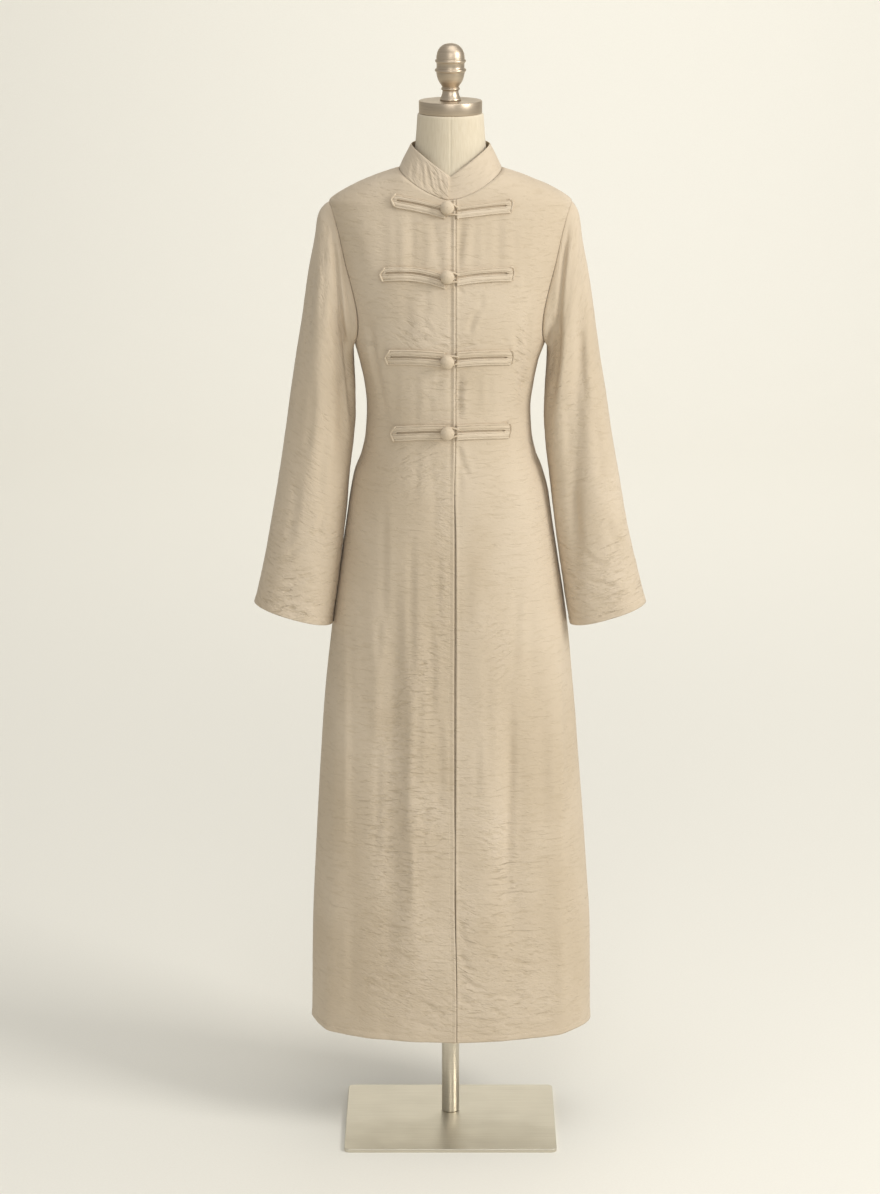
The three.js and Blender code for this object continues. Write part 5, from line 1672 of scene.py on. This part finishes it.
# Corners of one stitch: its start, a ring of four near it, a ring near its end, and its end
STITCH_FACES = [
    (0, 2, 1), (0, 3, 2), (0, 4, 3), (0, 1, 4),
    (1, 2, 6, 5), (2, 3, 7, 6), (3, 4, 8, 7), (4, 1, 5, 8),
    (5, 6, 9), (6, 7, 9), (7, 8, 9), (8, 5, 9),
]
STITCH_CORNERS = 10


def stitch_row(name, line, normals, slot):
    """Stitches along a line of points on the cloth."""
    steps = np.linalg.norm(np.diff(line, axis=0), axis=1)
    travelled = np.concatenate([[0], np.cumsum(steps)])
    middles = np.arange(STITCH["pitch"], travelled[-1] - STITCH["pitch"], STITCH["pitch"])
    ends = []
    for shift in (-0.5, 0.5):
        at = middles + shift * STITCH["length"]
        ends.append(np.stack([np.interp(at, travelled, column) for column in line.T], axis=1))
    out = unit(np.stack([np.interp(middles, travelled, column) for column in normals.T], axis=1))
    start, end = (point + out * STITCH["above"] for point in ends)
    forward = unit(end - start)
    side = np.cross(out, forward) * STITCH["radius"]
    rise = out * STITCH["radius"]
    inset = forward * STITCH["taper"]
    ring = [side, rise, -side, -rise]
    points = [start] + [start + inset + r for r in ring] + [end - inset + r for r in ring] + [end]
    points = np.stack(points, axis=1).reshape(-1, 3)
    firsts = range(0, STITCH_CORNERS * len(middles), STITCH_CORNERS)
    faces = [tuple(k + first for k in face) for first in firsts for face in STITCH_FACES]
    return place_piece(make_piece(name, points, faces, THREAD), slot)


def row_near(grid, value):
    """Index of the grid's row whose middle lies nearest a height."""
    return int(np.argmin(np.abs(grid[:, grid.shape[1] // 2, 2] - value)))


BAND_STITCH_STEP = 8.5  # one of the EDGE_STEPS, where the front band is stitched
stitch_rows = {}
for key, grid, flip in (("right", right_grid, False), ("left", left_grid, False), ("back", back_grid, True)):
    row = row_near(grid, HEM_Z + HEM_BAND)
    normals = grid_normals(grid, flip=flip)
    line, out = grid[row, 2:-2], normals[row, 2:-2]
    stitch_rows[key] = [stitch_row(f"hem_stitches_{key}", line, out, "crinkle_linen")]
    if key == "right":
        column = grid.shape[1] - 1 - EDGE_STEPS.index(BAND_STITCH_STEP)
        line, out = grid[3:-3, column], normals[3:-3, column]
        stitch_rows[key].append(stitch_row("front_band_stitches", line, out, "crinkle_linen"))
for key, grid in (("sleeve_right", sleeve_right_grid), ("sleeve_left", sleeve_left_grid)):
    row = int(np.argmin(np.abs(to_cuff - CUFF_BAND)))
    normals = grid_normals(grid, True, key == "sleeve_right")
    stitch_rows[key] = [stitch_row(f"cuff_stitches_{key}", grid[row], normals[row], "crinkle_linen")]
print("stitch rows:", sum(len(rows) for rows in stitch_rows.values()))

# %% [markdown]
# ## Dress form
# The form is a padded shell under canvas. Only its neck shows above the collar, with the seam
# down the middle of the front. It is built whole from its own sections, as the model has it.

# %% The form
FORM = table("z half shift front back power", [
    (955, 149, 0, 105, 99, 2.1),
    (963, 153, 0, 109, 103, 2.1),
    (1020, 154.5, 0, 110, 104, 2.1),
    (1080, 151.5, 0, 108.5, 102, 2.1),
    (1113, 142.5, 0, 106, 97, 2.1),
    (1140, 132, 0, 103.5, 91, 2.1),
    (1175, 124.5, 0, 100, 84.5, 2.1),
    (1215, 122.5, 0, 99, 81, 2.1),
    (1250, 126, 0, 103, 81.5, 2.15),
    (1290, 133.5, 0, 109, 85, 2.2),
    (1326, 144.5, 0, 113, 89, 2.2),
    (1370, 152, 0, 112.5, 93.5, 2.2),
    (1445, 169.5, 0, 101, 95, 2.2),
    (1490, 178.5, 0, 88, 91.5, 2.1),
    (1520, 182, 0, 78, 84.5, 2),
    (1540, 182, 0, 71, 78, 2),
    (1549, 172.5, 0, 68, 74, 2),
    (1556, 161.5, 0, 66, 71, 2),
    (1566, 140.5, 0, 63.5, 67, 2),
    (1575, 117, 0, 60.5, 63.5, 2),
    (1584, 91, 0, 57, 60.5, 2),
    (1592, 71.5, 0, 54.5, 58, 2),
    (1600, 62.5, 0, 53, 55.5, 2),
    (1612, 57, 0, 52, 53.5, 2),
    (1632, 54.3, 0, 51.4, 52.4, 2),
    (1656, 52.4, 0, 50.8, 51.4, 2),
    (1674, 51, 0, 50.2, 50.6, 2),
    (1676, 49.6, 0, 48.8, 49.2, 2),
])
FORM_SIDES = 120
FORM_SEAM = {"width": 0.9, "depth": 0.55}
FORM_GIRTH_RADIUS = 60  # mm, lays the canvas round the neck at its real size


def ring_faces(rows, columns):
    """Faces between rings of points, and a flat face at each end."""
    faces = []
    for r in range(rows - 1):
        low, high = r * columns, (r + 1) * columns
        for c in range(columns):
            after = (c + 1) % columns
            faces.append((low + c, low + after, high + after, high + c))
    faces.append(tuple(range(columns - 1, -1, -1)))
    faces.append(tuple(range((rows - 1) * columns, rows * columns)))
    return faces


def form_piece():
    """The form as one closed body, with a seam groove down the middle of its front and back."""
    outline = column_curves(FORM, "z")
    low, high = FORM[0]["z"], FORM[-1]["z"]
    z = np.concatenate([np.linspace(low, low + 8, 5), np.linspace(low + 14, 1590, 70),
                        np.linspace(1593, high - 2, 40), [high - 1, high]])[:, None]
    seam_angles = np.array([-1.2, -0.6, 0, 0.6, 1.2]) * math.radians(1.2)
    plain = np.linspace(0, math.tau, FORM_SIDES, endpoint=False)
    front_seam, back_seam = math.pi * 1.5 + seam_angles, math.pi * 0.5 + seam_angles
    angle = np.unique(np.concatenate([plain, front_seam, back_seam]))[None, :]
    base = section_point(outline, angle + 0 * z, z + 0 * angle)
    seam = FORM_SEAM["depth"] * np.exp(-(base[..., 0] / FORM_SEAM["width"]) ** 2)
    base[..., 1] -= np.sign(base[..., 1]) * seam
    uv = np.stack([(angle + 0 * z) * FORM_GIRTH_RADIUS, z + 0 * angle], axis=-1).reshape(-1, 2)
    return make_piece("padded_form", base.reshape(-1, 3), ring_faces(*base.shape[:2]), CANVAS, uv)


form = place_piece(form_piece(), "form_canvas", "dress_form")
print("form:", len(form.data.polygons), "faces")

# %% [markdown]
# ## Cap, finial, pole and plate
# The cap and finial are turned on a lathe, so each is a profile turned round the pole's axis.
# A bead on a profile is a half round. The plate is a sheet of steel with its corners rounded
# and its edges broken.

# %% Turned metal
TURNED_SIDES = 128


def softened(profile, rounds):
    """Cuts each corner of a profile at a quarter and three quarters of its sides."""
    points = np.array(profile, float)
    for _ in range(rounds):
        a, b = points[:-1], points[1:]
        cut = np.stack([lerp(a, b, 0.25), lerp(a, b, 0.75)], axis=1).reshape(-1, 2)
        points = np.concatenate([points[:1], cut, points[-1:]])
    return points


def turned_piece(name, profile, material):
    """A profile of (radius, height) in mm, turned round the pole's axis. It starts and ends on it."""
    radius, height = np.array(profile, float)[1:-1].T
    angle = np.linspace(0, math.tau, TURNED_SIDES, endpoint=False)[None, :]
    ring = np.stack([radius[:, None] * np.cos(angle), radius[:, None] * np.sin(angle),
                     height[:, None] + 0 * angle], axis=-1)
    points = np.concatenate([ring.reshape(-1, 3), [(0, 0, profile[0][1]), (0, 0, profile[-1][1])]])
    return make_piece(name, points, ball_faces(len(radius), TURNED_SIDES), material)


CAP = {"radius": 49.0, "low": 1676.3, "high": 1695.7, "edge": 1.4}


def cap_profile():
    """A disc with small rounds at its upper and lower edges."""
    radius, edge = CAP["radius"] - CAP["edge"], CAP["edge"]
    turns = np.linspace(-math.pi / 2, math.pi / 2, 10)
    low, high = CAP["low"] + edge, CAP["high"] - edge
    rounds = [(radius + edge * math.cos(t), (low if t < 0 else high) + edge * math.sin(t)) for t in turns]
    below = [(0, CAP["low"]), (radius - 2, CAP["low"])]
    above = [(radius - 2, CAP["high"]), (0, CAP["high"])]
    return below + rounds + above


place_piece(turned_piece("turned_neck_cap", cap_profile(), NICKEL), "satin_nickel", "neck_cap")


# %% Finial and pole
def bead(middle, half, inside, outside):
    """A half round on a profile, from inside radius out to outside radius."""
    turns = np.linspace(-math.pi / 2, math.pi / 2, 9)
    return [(inside + (outside - inside) * math.cos(t), middle + half * math.sin(t)) for t in turns]


FOOT = [(0, 1696), (16.4, 1696), (16.6, 1697), (16.3, 1698.4),
        (15.0, 1700.6), (13.6, 1704), (12.6, 1708), (12.4, 1711)]
BOWL = [(13.2, 1717), (14.6, 1719.6), (17.2, 1723), (19.6, 1728), (21.2, 1733.5), (21.9, 1738)]
DOME = [(21.9, 1760.5), (21.5, 1765), (20.3, 1770), (18.0, 1774.6),
        (14.6, 1778.4), (10.4, 1781.1), (5.6, 1782.6), (0, 1783)]
finial_profile = (
    FOOT + bead(1713.6, 2.2, 12.6, 14.6) + BOWL + bead(1742, 2.7, 21.9, 24.2)
    + [(21.6, 1745.6), (21.4, 1749), (21.7, 1752.6)] + bead(1756.2, 2.5, 21.9, 23.8) + DOME
)
finial = turned_piece("turned_finial", softened(finial_profile, 1), NICKEL)
place_piece(finial, "satin_nickel", "finial")

POLE = {"radius": 14.5, "low": 6.3, "high": 954.7}
pole_profile = [(0, POLE["low"]), (POLE["radius"], POLE["low"]), (POLE["radius"], POLE["low"] + 1),
                (POLE["radius"], POLE["high"] - 1), (POLE["radius"], POLE["high"]), (0, POLE["high"])]
place_piece(turned_piece("steel_pole", pole_profile, STEEL_TUBE), "brushed_steel", "pole")

# %% The plate
PLATE = {"width": 348, "depth": 258, "thickness": 6, "corner": 9, "middle_y": -29}
PLATE_EDGE = 0.8
CORNER_STEPS = 8


def plate_ring(inset, z):
    """The plate's outline, drawn in by inset, at height z."""
    radius = PLATE["corner"] - inset
    x, y = PLATE["width"] / 2 - PLATE["corner"], PLATE["depth"] / 2 - PLATE["corner"]
    ring = []
    for corner, (sx, sy) in enumerate([(1, -1), (1, 1), (-1, 1), (-1, -1)]):
        for i in range(CORNER_STEPS + 1):
            turn = math.pi / 2 * (corner - 1 + i / CORNER_STEPS)
            out_x = sx * x + radius * math.cos(turn)
            out_y = sy * y + radius * math.sin(turn) + PLATE["middle_y"]
            ring.append((out_x, out_y, z))
    return ring


def plate_piece():
    """The plate, with a narrow broken edge above and below."""
    top = PLATE["thickness"]
    steps = [(PLATE_EDGE, 0), (0.25 * PLATE_EDGE, 0.25 * PLATE_EDGE), (0, PLATE_EDGE), (0, top - PLATE_EDGE),
             (0.25 * PLATE_EDGE, top - 0.25 * PLATE_EDGE), (PLATE_EDGE, top)]
    rings = [plate_ring(inset, z) for inset, z in steps]
    faces = ring_faces(len(rings), len(rings[0]))
    piece = make_piece("steel_plate", [point for ring in rings for point in ring], faces, STEEL_PLATE)
    for face in piece.data.polygons[-2:]:
        face.use_smooth = False
    return piece


plate = place_piece(plate_piece(), "brushed_steel", "base_plate")
print("plate faces:", len(plate.data.polygons))
